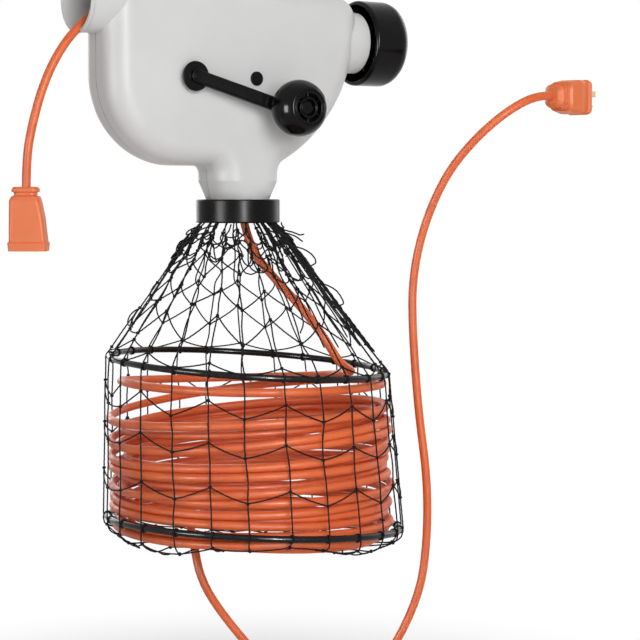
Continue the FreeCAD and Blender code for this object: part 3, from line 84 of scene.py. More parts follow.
class Finish:
    """A node material with a Principled shader and a few ready parts."""

    def __init__(self, name, color, roughness, **sockets):
        self.material = bpy.data.materials.new(name)
        self.material.use_nodes = True
        self.tree = self.material.node_tree
        self.shader = self.tree.nodes["Principled BSDF"]
        self.color = color
        self.coords = self.add("TexCoord").outputs["Object"]
        self.shader.inputs["Base Color"].default_value = (*color, 1)
        self.shader.inputs["Roughness"].default_value = roughness
        for key, value in sockets.items():
            self.shader.inputs[key.replace("_", " ")].default_value = value
        self.normal = None

    def add(self, kind, **inputs):
        """A new node in this material."""
        return add_node(self.tree, kind, **inputs)

    def link(self, source, target):
        """Joins an output to an input."""
        self.tree.links.new(source, target)

    def noise(self, scale, detail=3.0, stretch=None, roughness=0.5):
        """Noise in object space, of that many waves a metre."""
        node = self.add("TexNoise", Scale=scale, Detail=detail, Roughness=roughness)
        source = self.coords
        if stretch:
            mapping = self.add("Mapping", Scale=stretch)
            self.link(source, mapping.inputs["Vector"])
            source = mapping.outputs["Vector"]
        self.link(source, node.inputs["Vector"])
        return node.outputs["Fac"]

    def ramp(self, source, low, high, start=0.35, end=0.65):
        """A value that goes from low to high as the source passes from start to end."""
        node = self.add("MapRange", From_Min=start, From_Max=end, To_Min=low, To_Max=high)
        self.link(source, node.inputs["Value"])
        return node.outputs["Result"]

    def tint(self, source, other, start=0.35, end=0.65):
        """Base colour between what it was and another, by a source."""
        mix = self.add("Mix")
        mix.data_type = "RGBA"
        self.link(self.ramp(source, 0.0, 1.0, start, end), mix.inputs[0])
        before = self.shader.inputs["Base Color"]
        if before.links:
            self.link(before.links[0].from_socket, mix.inputs[6])
        else:
            mix.inputs[6].default_value = (*self.color, 1)
        mix.inputs[7].default_value = (*other, 1)
        self.link(mix.outputs[2], before)

    def rough(self, source, low, high, start=0.35, end=0.65):
        """Roughness between low and high, by a source."""
        self.link(self.ramp(source, low, high, start, end), self.shader.inputs["Roughness"])

    def bump(self, source, depth, strength=1.0):
        """Relief of that depth in metres."""
        node = self.add("Bump", Strength=strength, Distance=depth)
        self.link(source, node.inputs["Height"])
        if self.normal is not None:
            self.link(self.normal, node.inputs["Normal"])
        self.normal = node.outputs["Normal"]
        self.link(self.normal, self.shader.inputs["Normal"])

    def soft_edges(self, radius):
        """Edges that shade as if rounded, by that radius in metres."""
        node = self.add("Bevel", Radius=radius)
        node.samples = 4
        self.normal = node.outputs["Normal"]
        self.link(self.normal, self.shader.inputs["Normal"])


def moulded(name, color, roughness, shade, grain=0.000015, **sockets):
    """Moulded plastic: faint clouding, fine grain, handling marks in the gloss."""
    finish = Finish(name, color, roughness, **sockets)
    finish.soft_edges(0.0006)
    finish.tint(finish.noise(14.0, detail=4.0), shade, start=0.3, end=0.8)
    finish.rough(finish.noise(55.0, detail=6.0, roughness=0.65), roughness * 0.88, roughness * 1.2,
                 start=0.3, end=0.7)
    finish.bump(finish.noise(2600.0, detail=2.0), grain)
    finish.bump(finish.noise(95.0), grain * 6, strength=0.5)
    return finish


def metal(name, color, roughness, stretch=(1.0, 1.0, 1.0)):
    """Plated or drawn metal with fine lines and a little tarnish."""
    finish = Finish(name, color, roughness, Metallic=1.0)
    finish.soft_edges(0.0003)
    finish.tint(finish.noise(60.0, detail=5.0), tuple(c * 0.75 for c in color), start=0.45, end=0.8)
    finish.rough(finish.noise(300.0, detail=4.0, stretch=stretch), roughness * 0.8, roughness * 1.4)
    finish.bump(finish.noise(900.0, stretch=stretch), 0.00001)
    return finish


# The sunk line at Y = 0 where the two shells meet, with painted shade: a dark grey band stands for the
# shadow in its groove; in metres
SEAM_HALF_WIDTH = 0.0002
SEAM_SHADE_FADE = 0.00025
SEAM_SLOPE = 0.0003
SEAM_DEPTH = 0.0004


def housing_plastic():
    """Pale plastic with a sunk line where the shells meet, painted dark grey as the shade in its groove."""
    finish = moulded("housing_plastic", (0.64, 0.64, 0.638), 0.38, (0.60, 0.60, 0.598), grain=0.00001,
                     Specular_IOR_Level=0.14)
    place = finish.add("SeparateXYZ")
    finish.link(finish.coords, place.inputs["Vector"])
    beside = finish.add("Math")
    beside.operation = "ABSOLUTE"
    finish.link(place.outputs["Y"], beside.inputs[0])
    from_seam = beside.outputs[0]
    # painted shade: the band about the seam is tinted dark grey, as the shadow inside the groove
    finish.tint(from_seam, (0.16, 0.16, 0.16), start=SEAM_HALF_WIDTH + SEAM_SHADE_FADE, end=SEAM_HALF_WIDTH)
    finish.bump(finish.ramp(from_seam, 0.0, 1.0, SEAM_HALF_WIDTH, SEAM_HALF_WIDTH + SEAM_SLOPE), SEAM_DEPTH)
    return finish


def rubber():
    """Dull black rubber."""
    finish = Finish("rubber", (0.03, 0.03, 0.031), 0.75)
    finish.tint(finish.noise(80.0, detail=5.0), (0.055, 0.053, 0.05), start=0.5, end=0.8)
    finish.bump(finish.noise(1500.0), 0.00004)
    return finish


def hoop_coating():
    """Glossy black coating of the hoops, a little uneven."""
    finish = Finish("hoop_rod", (0.002, 0.002, 0.0023), 0.2, Specular_IOR_Level=0.15, Coat_Weight=0.12,
                    Coat_Roughness=0.1)
    finish.tint(finish.noise(40.0, detail=4.0), (0.005, 0.005, 0.0055))
    finish.rough(finish.noise(240.0, detail=5.0), 0.13, 0.32)
    finish.bump(finish.noise(180.0), 0.00006)
    return finish


def net_twine():
    """Dull black twine with fine fibres."""
    finish = Finish("net_twine", (0.003, 0.003, 0.0035), 0.7, Specular_IOR_Level=0.1)
    finish.tint(finish.noise(500.0), (0.008, 0.008, 0.009))
    finish.bump(finish.noise(3000.0, detail=4.0), 0.00008)
    return finish


def cord_sheath():
    """Orange sheath of the cord, clouded and scuffed."""
    finish = Finish("cord_sheath", (0.74, 0.146, 0.040), 0.42, Specular_IOR_Level=0.25)
    finish.tint(finish.noise(22.0, detail=4.0), (0.66, 0.112, 0.031), end=0.75)
    finish.tint(finish.noise(160.0, detail=5.0, roughness=0.7), (0.50, 0.078, 0.022), start=0.62, end=0.85)
    finish.rough(finish.noise(70.0, detail=5.0), 0.34, 0.55)
    finish.bump(finish.noise(300.0, detail=2.0), 0.00003)
    return finish


FINISHES = {
    "black_plastic": moulded("black_plastic", (0.0025, 0.0025, 0.0027), 0.27, (0.0045, 0.0045, 0.0048),
                             Specular_IOR_Level=0.09),
    "knob_plastic": moulded("knob_plastic", (0.0015, 0.0015, 0.0016), 0.16, (0.003, 0.003, 0.003),
                            grain=0.000004, Specular_IOR_Level=0.1, Coat_Weight=0.06, Coat_Roughness=0.08),
    "nylon": moulded("nylon", (0.72, 0.72, 0.69), 0.5, (0.66, 0.65, 0.61)),
    "steel": metal("zinc_steel", (0.62, 0.62, 0.63), 0.3),
    "spring_steel": metal("spring_steel", (0.45, 0.45, 0.46), 0.32),
    "brass": metal("brass", (0.78, 0.62, 0.34), 0.22, stretch=(1.0, 6.0, 1.0)),
    "housing": housing_plastic(),
    "rubber": rubber(),
    "hoop": hoop_coating(),
    "net": net_twine(),
    "cord": cord_sheath(),
    "cord_fitting": moulded("cord_fitting", (0.76, 0.175, 0.050), 0.45, (0.68, 0.14, 0.040),
                            grain=0.00003, Specular_IOR_Level=0.25),
}

# The CAD nodes that show as they are, by finish
NODE_FINISH = {
    "housing": ["front_shell", "rear_shell"],
    "black_plastic": ["carry_handle", "neck_collar", "bag_ring", "yoke_pivot_front", "yoke_pivot_rear"],
    "knob_plastic": ["tension_knob"],
    "nylon": ["axle_bush_front", "axle_bush_rear", "drive_wheel", "roller_hub", "spring_seat",
              "pinch_yoke"],
    "steel": ["case_screws", "drive_axle", "roller_axle", "tension_screw"],
    "spring_steel": ["pressure_spring"],
    "rubber": ["drive_tyre", "roller_tyre"],
    "hoop": ["top_hoop", "bottom_hoop"],
    "cord_fitting": ["cord_connector", "cord_plug"],
    "brass": ["plug_blades"],
}


def dress(node, finish):
    """Gives a CAD node its finish."""
    slots = node.material_slots
    if not slots:
        node.data.materials.append(FINISHES[finish].material)
    for entry in slots:
        entry.material = FINISHES[finish].material


for finish_name, members in NODE_FINISH.items():
    for member in members:
        dress(NODES[member], finish_name)


def add_piece(name, data, body, slot, replaced):
    """A new piece with a finish, which rides on a body and stands for CAD nodes."""
    data.materials.append(FINISHES[slot].material)
    piece = bpy.data.objects.new(name, data)
    scene.collection.objects.link(piece)
    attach(piece, body)
    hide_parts(*replaced)
    return piece


# Crank and its knob

class Moulding:
    """Gathers turned and straight forms along Y into one mesh, in millimetres."""

    ROUND_POINTS = 72   # of a turned form
    SECTION_POINTS = 24  # of a bar, 6 at each rounded corner

    def __init__(self):
        self.verts = []
        self.faces = []

    def turned(self, centre, profile):
        """Revolves a profile of (radius, y) points about a line along Y at centre, its (x, z)."""
        base = len(self.verts)
        segments = self.ROUND_POINTS
        for radius, y in profile:
            for i in range(segments):
                angle = 2 * math.pi * i / segments
                self.verts.append((centre[0] + radius * math.cos(angle), y,
                                   centre[1] + radius * math.sin(angle)))
        for row in range(len(profile) - 1):
            here = base + row * segments
            after = here + segments
            for i in range(segments):
                k = (i + 1) % segments
                if profile[row][0] > 0 and profile[row + 1][0] > 0:
                    self.faces.append((here + i, here + k, after + k, after + i))
                elif profile[row + 1][0] > 0:
                    self.faces.append((here, after + k, after + i))
                else:
                    self.faces.append((here + i, here + k, after))

    def bar(self, start, end, widths, middles, thick, corner):
        """Bar of rounded section between two (x, z) places, with a width and a mid-plane at each end."""
        along = Vector((end[0] - start[0], 0, end[1] - start[1])).normalized()
        across = Vector((-along.z, 0, along.x))
        base = len(self.verts)
        per = self.SECTION_POINTS
        for place, width, middle in zip((start, end), widths, middles):
            for i in range(per):
                quarter, part = divmod(i, per // 4)
                angle = math.pi / 2 * (quarter + part / (per // 4 - 1))
                side = (1, -1, -1, 1)[quarter] * (width / 2 - corner) + corner * math.cos(angle)
                depth = (1, 1, -1, -1)[quarter] * (thick / 2 - corner) + corner * math.sin(angle)
                self.verts.append((place[0] + across.x * side, middle + depth, place[1] + across.z * side))
        for i in range(per):
            k = (i + 1) % per
            self.faces.append((base + i, base + k, base + per + k, base + per + i))
        self.faces.append(tuple(base + i for i in range(per)))
        self.faces.append(tuple(base + per + i for i in reversed(range(per))))

    def piece(self, name, body, slot, replaced):
        """Makes the mesh, welded, smooth and with its edges sharp, and adds it as a piece."""
        data = bpy.data.meshes.new(name)
        data.from_pydata([tuple(c * MM for c in v) for v in self.verts], [], self.faces)
        data.polygons.foreach_set("use_smooth", [True] * len(data.polygons))
        data.validate()
        welded = bmesh.new()
        welded.from_mesh(data)
        bmesh.ops.remove_doubles(welded, verts=welded.verts, dist=0.000001)
        bmesh.ops.recalc_face_normals(welded, faces=welded.faces)
        welded.to_mesh(data)
        welded.free()
        data.set_sharp_from_angle(angle=math.radians(32))
        add_piece(name, data, body, slot, replaced)


def rim(radius, y, fillet):
    """Rounded edge of a disc whose face, at y, looks along -Y: from the side wall to the face."""
    return [(radius - fillet + fillet * math.cos(angle), y + fillet * (1 - math.sin(angle)))
            for angle in np.linspace(0, math.pi / 2, 6)]


# X and Z of the two axes, which are the joints' axes, in millimetres
AXLE_AT = (-71.0, -150.0)
KNOB_AT = (24.476, -179.737)


def between(share):
    """X and Z of a place on the line from the axle to the knob."""
    return tuple(a + share * (b - a) for a, b in zip(AXLE_AT, KNOB_AT))


def make_crank():
    """Hub with cap and screw, the arm that leans out to the boss, and the knob's pin in one piece."""
    hub_back, flange_back, flange_face = -34.6, -39.6, -42.0
    cap_face, cap_recess = -46.6, -45.6
    boss_back, boss_face = -50.6, -60.6
    pin_head_back, pin_head_face = -88.0, -90.4
    raised_from = 0.745        # share of the arm from which it is thicker
    part = Moulding()
    part.turned(AXLE_AT, [(0, hub_back), (9.5, hub_back), (9.5, flange_back), (13.6, flange_back)]
                + rim(14.4, flange_face, 0.8) + [(0, flange_face)])
    part.turned(AXLE_AT, [(0, flange_face + 1.0), (6.6, flange_face + 1.0)] + rim(6.6, cap_face, 1.2)
                + [(4.6, cap_face), (4.6, cap_recess), (0, cap_recess)])
    part.turned(AXLE_AT, [(0, -45.4), (4.1, -45.4)] + rim(4.1, -46.9, 0.7) + [(0, -47.0)])
    part.bar(AXLE_AT, KNOB_AT, widths=(13.0, 13.4), middles=(-42.4, -55.0), thick=8.6, corner=2.6)
    part.bar(between(raised_from), KNOB_AT, widths=(10.6, 10.6), middles=(-52.6, -55.8), thick=8.4,
             corner=0.5)
    part.turned(KNOB_AT, [(0, boss_back), (7.6, boss_back), (8.4, boss_back - 0.8), (8.4, boss_face),
                          (0, boss_face)])
    part.turned(KNOB_AT, [(0, -60), (3.9, -60), (3.9, pin_head_back), (6.4, pin_head_back)]
                + rim(6.4, -90.2, 0.8) + [(0, pin_head_face)])
    part.piece("crank_moulding", "crank", "black_plastic", ["crank_arm", "crank_screw", "knob_pin"])


def make_knob():
    """Flattened ball with a wide flat face, a groove in it, and a ribbed ring in its recess."""
    ball_y, side_r, ball_r = -75.6, 24.2, 27.6
    flat_y, back_y, recess_y, ring_y = -94.4, -60.9, -87.4, -92.4
    ribs, rib_from_r, rib_to_r = 6, 9.4, 14.2
    ball = [(ball_r - side_r + math.sqrt(side_r ** 2 - (y - ball_y) ** 2), y)
            for y in np.linspace(back_y, flat_y + 0.5, 26)]
    part = Moulding()
    part.turned(KNOB_AT, [(4.4, recess_y), (4.4, back_y), (ball[0][0] - 0.8, back_y)] + ball
                + [(ball[-1][0] - 0.9, flat_y), (17.4, flat_y), (17.0, flat_y + 0.7), (16.2, flat_y + 0.7),
                   (15.8, flat_y), (14.2, flat_y), (13.8, flat_y + 0.5), (13.8, recess_y), (10.2, recess_y),
                   (10.2, ring_y), (9.9, ring_y - 0.4), (8.5, ring_y - 0.4), (8.2, ring_y), (8.2, recess_y),
                   (4.4, recess_y)])
    for i in range(ribs):
        angle = math.radians(360.0 / ribs * i + 30.0)
        ends = [(KNOB_AT[0] + r * math.cos(angle), KNOB_AT[1] + r * math.sin(angle))
                for r in (rib_from_r, rib_to_r)]
        part.bar(*ends, widths=(1.8, 1.8), middles=(-89.2, -89.2), thick=4.6, corner=0.4)
    part.piece("knob_moulding", "knob", "knob_plastic", ["crank_knob"])


make_crank()
make_knob()


# Cords

def cord_curve(name, points, replaced):
    """Round cord on one open NURBS spline with these control points, in metres."""
    data = bpy.data.curves.new(name, "CURVE")
    data.dimensions = "3D"
    spline = data.splines.new("NURBS")
    spline.points.add(len(points) - 1)
    for control, point in zip(spline.points, points):
        control.co = (*point, 1)
    spline.order_u = 3
    spline.use_endpoint_u = True
    data.resolution_u = 5
    data.bevel_depth = CORD_D / 2 * MM
    data.bevel_resolution = 6
    data.use_fill_caps = True
    return add_piece(name, data, "root", "cord", replaced)


def millimetres(points):
    """Points given in millimetres, in metres."""
    return [Vector(p) * MM for p in points]


# The coil: lengths in millimetres, places along it in turns from the loop's left end
COIL_FROM = 0.5
COIL_TO = 17.5
COIL_PITCH = 8.25
COIL_REF_Z = -472.0     # height of turn 2
COIL_TOP_RISE = 18.5    # the first loop lies above the rest
COIL_FAN = 1.5          # right end falls this much more per turn, and the left end less
COIL_FAN_LOW = 0.8      # the same below the level turn
COIL_FAN_MID = 9.33     # the turn that lies level
COIL_STAGGER = 3.1      # alternate turns lie further out at the left end, where they crowd
COIL_START_R = 100.0
COIL_TOP_R = 128.0
COIL_R = 136.0
COIL_END_R = 122.0
COIL_STEPS = 32         # control points in a turn
COIL_WIDER = 1 / math.cos(math.pi / COIL_STEPS)  # the spline runs inside its control points
TURN = COIL_FROM + np.arange(round((COIL_TO - COIL_FROM) * COIL_STEPS) + 1) / COIL_STEPS
ANGLE = 2 * math.pi * TURN
TINY = 1e-6


def neat_coil():
    """Heights and radii of evenly wound turns, close to the CAD coil's."""
    settled = smooth(TURN - 1.0)
    middle = COIL_REF_Z - COIL_PITCH * (TURN - 2.0) + COIL_TOP_RISE * (1 - settled)
    fan = np.where(TURN < COIL_FAN_MID, COIL_FAN, COIL_FAN_LOW) * (COIL_FAN_MID - TURN) * settled
    radius = (COIL_START_R + (COIL_TOP_R - COIL_START_R) * smooth((TURN - 0.4) / 0.7)
              + (COIL_R - COIL_TOP_R) * smooth((TURN - 0.9) / 0.9))
    radius += (COIL_STAGGER * np.cos(math.pi * TURN) * settled
               - (COIL_R - COIL_END_R) * smooth((TURN - COIL_TO + 1.3) / 1.3))
    return middle - fan * np.cos(ANGLE), radius


def hoop_level(hoop, radius):
    """Height of a hoop's plane above or below each point of the coil."""
    return hoop["z"] + radius / hoop["r"] * (hoop["fall"] * np.cos(ANGLE) + hoop["rise"] * np.sin(ANGLE))


# The net's floor hangs this deep below the lower hoop, and deeper or less deep in a few places,
# each as (more depth in millimetres, degrees from the left end, width in degrees)
FLOOR_HANGS = 13.0
FLOOR_BULGES = [(11.0, 50.0, 24.0), (5.0, 138.0, 14.0), (-3.0, 112.0, 14.0), (3.0, 270.0, 60.0)]


def floor_depth(angle):
    """How far the net's floor hangs below the lower hoop, by the angle from its left end."""
    turned = np.degrees(angle) % 360.0
    depth = FLOOR_HANGS
    for more, at, width in FLOOR_BULGES:
        depth = depth + more * np.exp(-((turned - at) / width) ** 2)
    return depth


# How the turns drop into the bag, in millimetres and turns
COIL_SEED = 7
WANDER_WAVES = (0.31, 0.53, 0.83, 1.37, 2.21)  # a turn
WANDER_UP = 4.5
WANDER_OUT = 6.0
ZIGZAG = 2.0            # alternate turns lie this much further in or out at the left end
DRAWN_IN = 0.5
PACKED = 0.32           # taken from the neat coil's pitch
PACKED_ABOUT = 10.0     # the turn that this leaves at its height
SUNK = 6.0              # all but the first two loops lie this much lower
LEAN = 0.13             # rise in front for each millimetre further out
LEAN_R = 135.5
TILT = 6.0              # middle turns lie this much lower at the left end and higher at the right
LAST_FROM = 15.7        # the last turns lie lower from here on
LAST_SUNK = 5.0
LAST_LEFT_SUNK = 8.0    # and this much more at the left, in front
LAST_LEFT_AT = 0.9      # radians from the left end
ENTRY_SUNK = 14.0       # dip of the first half turn, at the back
ENTRY_TURNS = 0.56

# How they settle there
TURN_GAP = 0.1          # between two turns that lie on each other
NEIGHBOURS = 5          # turns that are kept apart from each other
SETTLE_STEPS = 400
SOFTEN_STEPS = 340      # after these only the gaps are kept
SOFTEN = np.array([1, 4, 6, 4, 1]) / 16
# Shares of the push, the return and the softening that one step makes
PUSHED = 0.6
RETURNED = 0.03
SOFTENED = 0.25
HOOP_CLEAR = 7.7        # a turn's middle from the lower hoop's
FLOOR_CLEAR = 4.9       # a turn's middle above the net's floor
INSIDE_R = 136.8        # largest radius of a turn's middle at the top hoop
INSIDE_R_GROWS = 8.7    # from there to the lower hoop
INSIDE_R_MOST = 140.0
MOST_MOVED = 15.0       # from the neat coil


def wander(chance, waves, size):
    """A wave along the turns, of random height and start."""
    return size * chance.uniform(0.5, 1) * np.sin(2 * math.pi * waves * TURN + chance.uniform(0, 6.3))


def dropped_turns(high, radius, free, chance):
    """The turns as they drop: unevenly, closer than wound, and the last ones low, where they are free."""
    high = high.copy()
    radius = radius - free * (DRAWN_IN - ZIGZAG * np.cos(math.pi * TURN))
    front = 0.3 + 0.7 * smooth(np.sin(ANGLE) + 0.3)
    for waves in WANDER_WAVES:
        size = free * front / (1 + waves * 0.5)
        high += wander(chance, waves, WANDER_UP * size)
        radius += wander(chance, waves, WANDER_OUT * size)
    packed = PACKED * (TURN - PACKED_ABOUT) * smooth(TURN - 2.0)
    last = smooth((TURN - LAST_FROM) / 1.2)
    high += free * (packed - SUNK * smooth((TURN - 1.4) / 1.2) - LAST_SUNK * last)
    high += free * (LEAN * (radius - LEAN_R) * np.sin(ANGLE)
                    - TILT * np.sin(math.pi * (TURN - 1.0) / (COIL_TO - 1.0)) * np.cos(ANGLE))
    high -= free * LAST_LEFT_SUNK * last * np.maximum(0.0, np.cos(ANGLE - LAST_LEFT_AT))
    high -= ENTRY_SUNK * np.sin(math.pi * np.clip((TURN - COIL_FROM) / ENTRY_TURNS, 0.0, 1.0))
    return high, radius


def pushes(high, radius):
    """How far each point is pushed up and out by the turns that lie too near to it."""
    push_up, push_out = np.zeros(len(TURN)), np.zeros(len(TURN))
    for turns in range(1, NEIGHBOURS + 1):
        n = turns * COIL_STEPS
        up, out = high[n:] - high[:-n], radius[n:] - radius[:-n]
        apart = np.maximum(np.hypot(up, out), TINY)
        lack = np.maximum(0, CORD_D + TURN_GAP - apart) / apart * 0.5
        push_up[n:] += up * lack
        push_up[:-n] -= up * lack
        push_out[n:] += out * lack
        push_out[:-n] -= out * lack
    return push_up, push_out


def drawn(values, wanted):
    """How far each point is drawn towards its wanted place and towards its neighbours' mean."""
    mean = np.convolve(np.pad(values, 2, mode="edge"), SOFTEN, "valid")
    return RETURNED * (wanted - values) + SOFTENED * (mean - values)


def held_by_bag(high, radius, free):
    """The turns kept inside the net's wall, off the lower hoop and above the net's floor."""
    top, low = hoop_level(TOP_HOOP, radius), hoop_level(LOW_HOOP, radius)
    inside = np.minimum(INSIDE_R + INSIDE_R_GROWS * (top - high) / (top - low), INSIDE_R_MOST)
    radius = np.where(free > 0, np.minimum(radius, inside), radius)
    up, out = high - low, radius - LOW_HOOP["r"]
    apart = np.maximum(np.hypot(up, out), TINY)
    lack = free * np.maximum(0, HOOP_CLEAR - apart) / apart
    high, radius = high + up * lack, radius + out * lack
    high = np.where(free > 0, np.maximum(high, low - floor_depth(ANGLE) + FLOOR_CLEAR), high)
    return high, radius


def fallen_coil():
    """The turns as they lie in the bag: dropped in unevenly, resting on each other and in the net."""
    neat_high, neat_radius = neat_coil()
    free = smooth((TURN - 1.0) / 0.8) * smooth((COIL_TO - 0.35 - TURN) / 0.8)
    high, radius = dropped_turns(neat_high, neat_radius, free, np.random.RandomState(COIL_SEED))
    wanted_high, wanted_radius = high.copy(), radius.copy()
    for step in range(SETTLE_STEPS):
        push_up, push_out = pushes(high, radius)
        high += PUSHED * free * push_up
        radius += PUSHED * free * push_out
        if step < SOFTEN_STEPS:
            high += free * drawn(high, wanted_high)
            radius += free * drawn(radius, wanted_radius)
        high, radius = held_by_bag(high, radius, free)
        moved = np.maximum(np.hypot(high - neat_high, radius - neat_radius), TINY)
        share = np.minimum(1.0, MOST_MOVED / moved)
        high = neat_high + (high - neat_high) * share
        radius = neat_radius + (radius - neat_radius) * share
    share = (TOP_HOOP["z"] - high) / (TOP_HOOP["z"] - LOW_HOOP["z"])
    middle = TOP_HOOP["at"] + (LOW_HOOP["at"] - TOP_HOOP["at"]) * share
    radius = radius * COIL_WIDER
    return [in_bag(at - r * math.cos(q), r * math.sin(q), h)
            for at, r, q, h in zip(middle, radius, ANGLE, high)]


# Routes in the turned frame, in millimetres
DROP_ROUTE = [(6.5, 0, -291.5), (13, 4, -318), (36, 24, -345), (62, 46, -371), (86, 62, -401),
              (101, 59, -427)]
TAIL_ROUTE = [(120, -66, -605), (72, -99, -602.5), (14, -103, -599), (-34, -72, -594), (-52, -26, -593),
              (-45, 12, -609), (-37, 26, -648), (-12, 14, -690), (28, 8, -738), (66, 2, -761),
              (112, 0, -762), (149, 0, -737), (183, 0, -669), (190.5, 0, -612), (190.5, 0, -550),
              (181, 0, -480), (175, 0, -400), (174.5, 0, -347), (185.5, 4, -294), (207, 15, -243),
              (237, 27, -206), (268, 32, -180)]
PLUG_BACK = (313, 0, -165.5)
PLUG_AXIS = Vector((0.954, 0.301, 0)).normalized()
PLUG_RUN = 0.026        # straight cord behind the plug, in metres
COIL_RUN_IN = 0.030     # straight cord before the first loop
COIL_RUN_OUT = 0.032    # straight cord after the last loop

# Routes in the part's own frame, in millimetres
LEAD_ROUTE = [(-150, 0, -84), (-166, -2, -96), (-194, -7, -121), (-214.5, -6, -158), (-227, -4, -202),
              (-231, -2, -230), (-231.5, -2, -256)]
INNER_ROUTE = [(-150, 0, -84), (-128, 0, -75), (-100, 0, -84), (-71, 0, -84), (-44, 0, -84), (-24, 0, -95),
               (-9, 0, -115), (-5, 0, -140), (-5, 0, -162), (-4, 0, -200), (1, -1, -240), (5, -3, -270)]


def bag_cord_points():
    """From the neck's lower end, through the net's cone, round the coil and on to the plug."""
    coil = fallen_coil()
    plug = in_bag(*PLUG_BACK)
    return ([in_bag(*p) for p in DROP_ROUTE]
            + [coil[0] + (coil[0] - coil[1]).normalized() * COIL_RUN_IN] + coil
            + [coil[-1] + (coil[-1] - coil[-2]).normalized() * COIL_RUN_OUT]
            + [in_bag(*p) for p in TAIL_ROUTE] + [plug - PLUG_AXIS * PLUG_RUN, plug])


bag_cord = cord_curve("bag_cord", bag_cord_points(), ["cord_drop", "cord_coil", "cord_tail"])

lead_cord = cord_curve("lead_cord", millimetres(LEAD_ROUTE), ["cord_lead"])

cord_curve("inner_cord", millimetres(INNER_ROUTE) + [in_bag(*DROP_ROUTE[0])], ["cord_inner"])


# Net

def hoop_frame(hoop):
    """Centre, upward normal and the two in-plane directions of a hoop, in metres."""
    centre = in_bag(hoop["at"], 0, hoop["z"])
    up = (in_bag(hoop["fall"] / hoop["r"], -hoop["rise"] / hoop["r"], 1.0) / MM).normalized()
    along = in_bag(1, 0, 0) / MM
    along = (along - up * along.dot(up)).normalized()
    front = up.cross(along) * -1
    return centre, up, along, front


def on_hoop(hoop, angle, radius, depth=0.0):
    """A point about a hoop: angle in radians from its left end through its front."""
    centre, up, along, front = hoop_frame(hoop)
    return centre + (front * math.sin(angle) - along * math.cos(angle)) * (radius * MM) - up * (depth * MM)


# The net's profile, in millimetres: distances down it begin where it leaves the collar
NET_OUT = HOOP_WIRE_R + 0.9  # the net runs this far outside the hoops' middle lines
CONE_START = -3.0       # inside the collar
CONE_SLANT = 175.0
CONE_TOP_Z = -292.5
CONE_TOP_R = 35.2
CONE_FLARE = 5.0        # how much the net swells just below the collar
IN_COLLAR_R = 34.6
IN_COLLAR_Z = -292.0
WALL_DROP = 159.0
FLOOR_BEND = 22.0       # length over which the wall turns under the hoop
FLOOR_LEAN = 0.55       # share of that length by which it leans in
FLOOR_EVEN = 17.0       # depth towards the middle
FLOOR_MORE = 3.5        # and how much deeper the very middle is
NET_END = CONE_SLANT + WALL_DROP + 150.0


def floor_point(angle, beyond):
    """A point of the net's floor, beyond the lower hoop by that many millimetres."""
    inner = LOW_HOOP["r"] + NET_OUT
    inner -= FLOOR_LEAN * min(beyond, FLOOR_BEND) * smooth(beyond / FLOOR_BEND)
    depth = floor_depth(angle) * math.sin(math.pi / 2 * min(1.0, beyond / 24.0))
    if beyond > FLOOR_BEND:
        inner -= beyond - FLOOR_BEND
        depth += ((FLOOR_EVEN - floor_depth(angle)) * smooth((beyond - 24.0) / 40.0)
                  + FLOOR_MORE * smooth((beyond - 24.0) / 110.0))
    return on_hoop(LOW_HOOP, angle, max(2.0, inner), depth)


def net_point(angle, down, out=0.0):
    """A point of the net: angle from the left end through the front, and millimetres down its profile."""
    top = on_hoop(TOP_HOOP, angle, TOP_HOOP["r"] + NET_OUT + out)
    low = on_hoop(LOW_HOOP, angle, LOW_HOOP["r"] + NET_OUT + out)
    if down < 0:
        ring = IN_COLLAR_R + out
        return in_bag(-ring * math.cos(angle), ring * math.sin(angle), IN_COLLAR_Z - down)
    if down < CONE_SLANT:
        share = down / CONE_SLANT
        ring = CONE_TOP_R + CONE_FLARE * smooth(down / 6.0) * (1 - share) + out
        neck = in_bag(-ring * math.cos(angle), ring * math.sin(angle), CONE_TOP_Z)
        return neck.lerp(top, share)
    if down < CONE_SLANT + WALL_DROP:
        return top.lerp(low, (down - CONE_SLANT) / WALL_DROP)
    return floor_point(angle, down - CONE_SLANT - WALL_DROP)


def spread_line(points, step):
    """A smooth line through these points, resampled at a steady step in metres."""
    pts = np.array([tuple(p) for p in points])
    ends = np.vstack([2 * pts[0] - pts[1], pts, 2 * pts[-1] - pts[-2]])
    fine = []
    for p0, p1, p2, p3 in zip(ends, ends[1:], ends[2:], ends[3:]):
        for t in np.linspace(0, 1, 12, endpoint=False):
            fine.append(0.5 * (2 * p1 + (p2 - p0) * t + (2 * p0 - 5 * p1 + 4 * p2 - p3) * t * t
                               + (3 * p1 - p0 - 3 * p2 + p3) * t ** 3))
    fine.append(pts[-1])
    fine = np.array(fine)
    along = np.concatenate([[0], np.cumsum(np.linalg.norm(np.diff(fine, axis=0), axis=1))])
    at = np.linspace(0, along[-1], max(3, int(along[-1] / step) + 1))
    return np.stack([np.interp(at, along, fine[:, k]) for k in range(3)], axis=1)


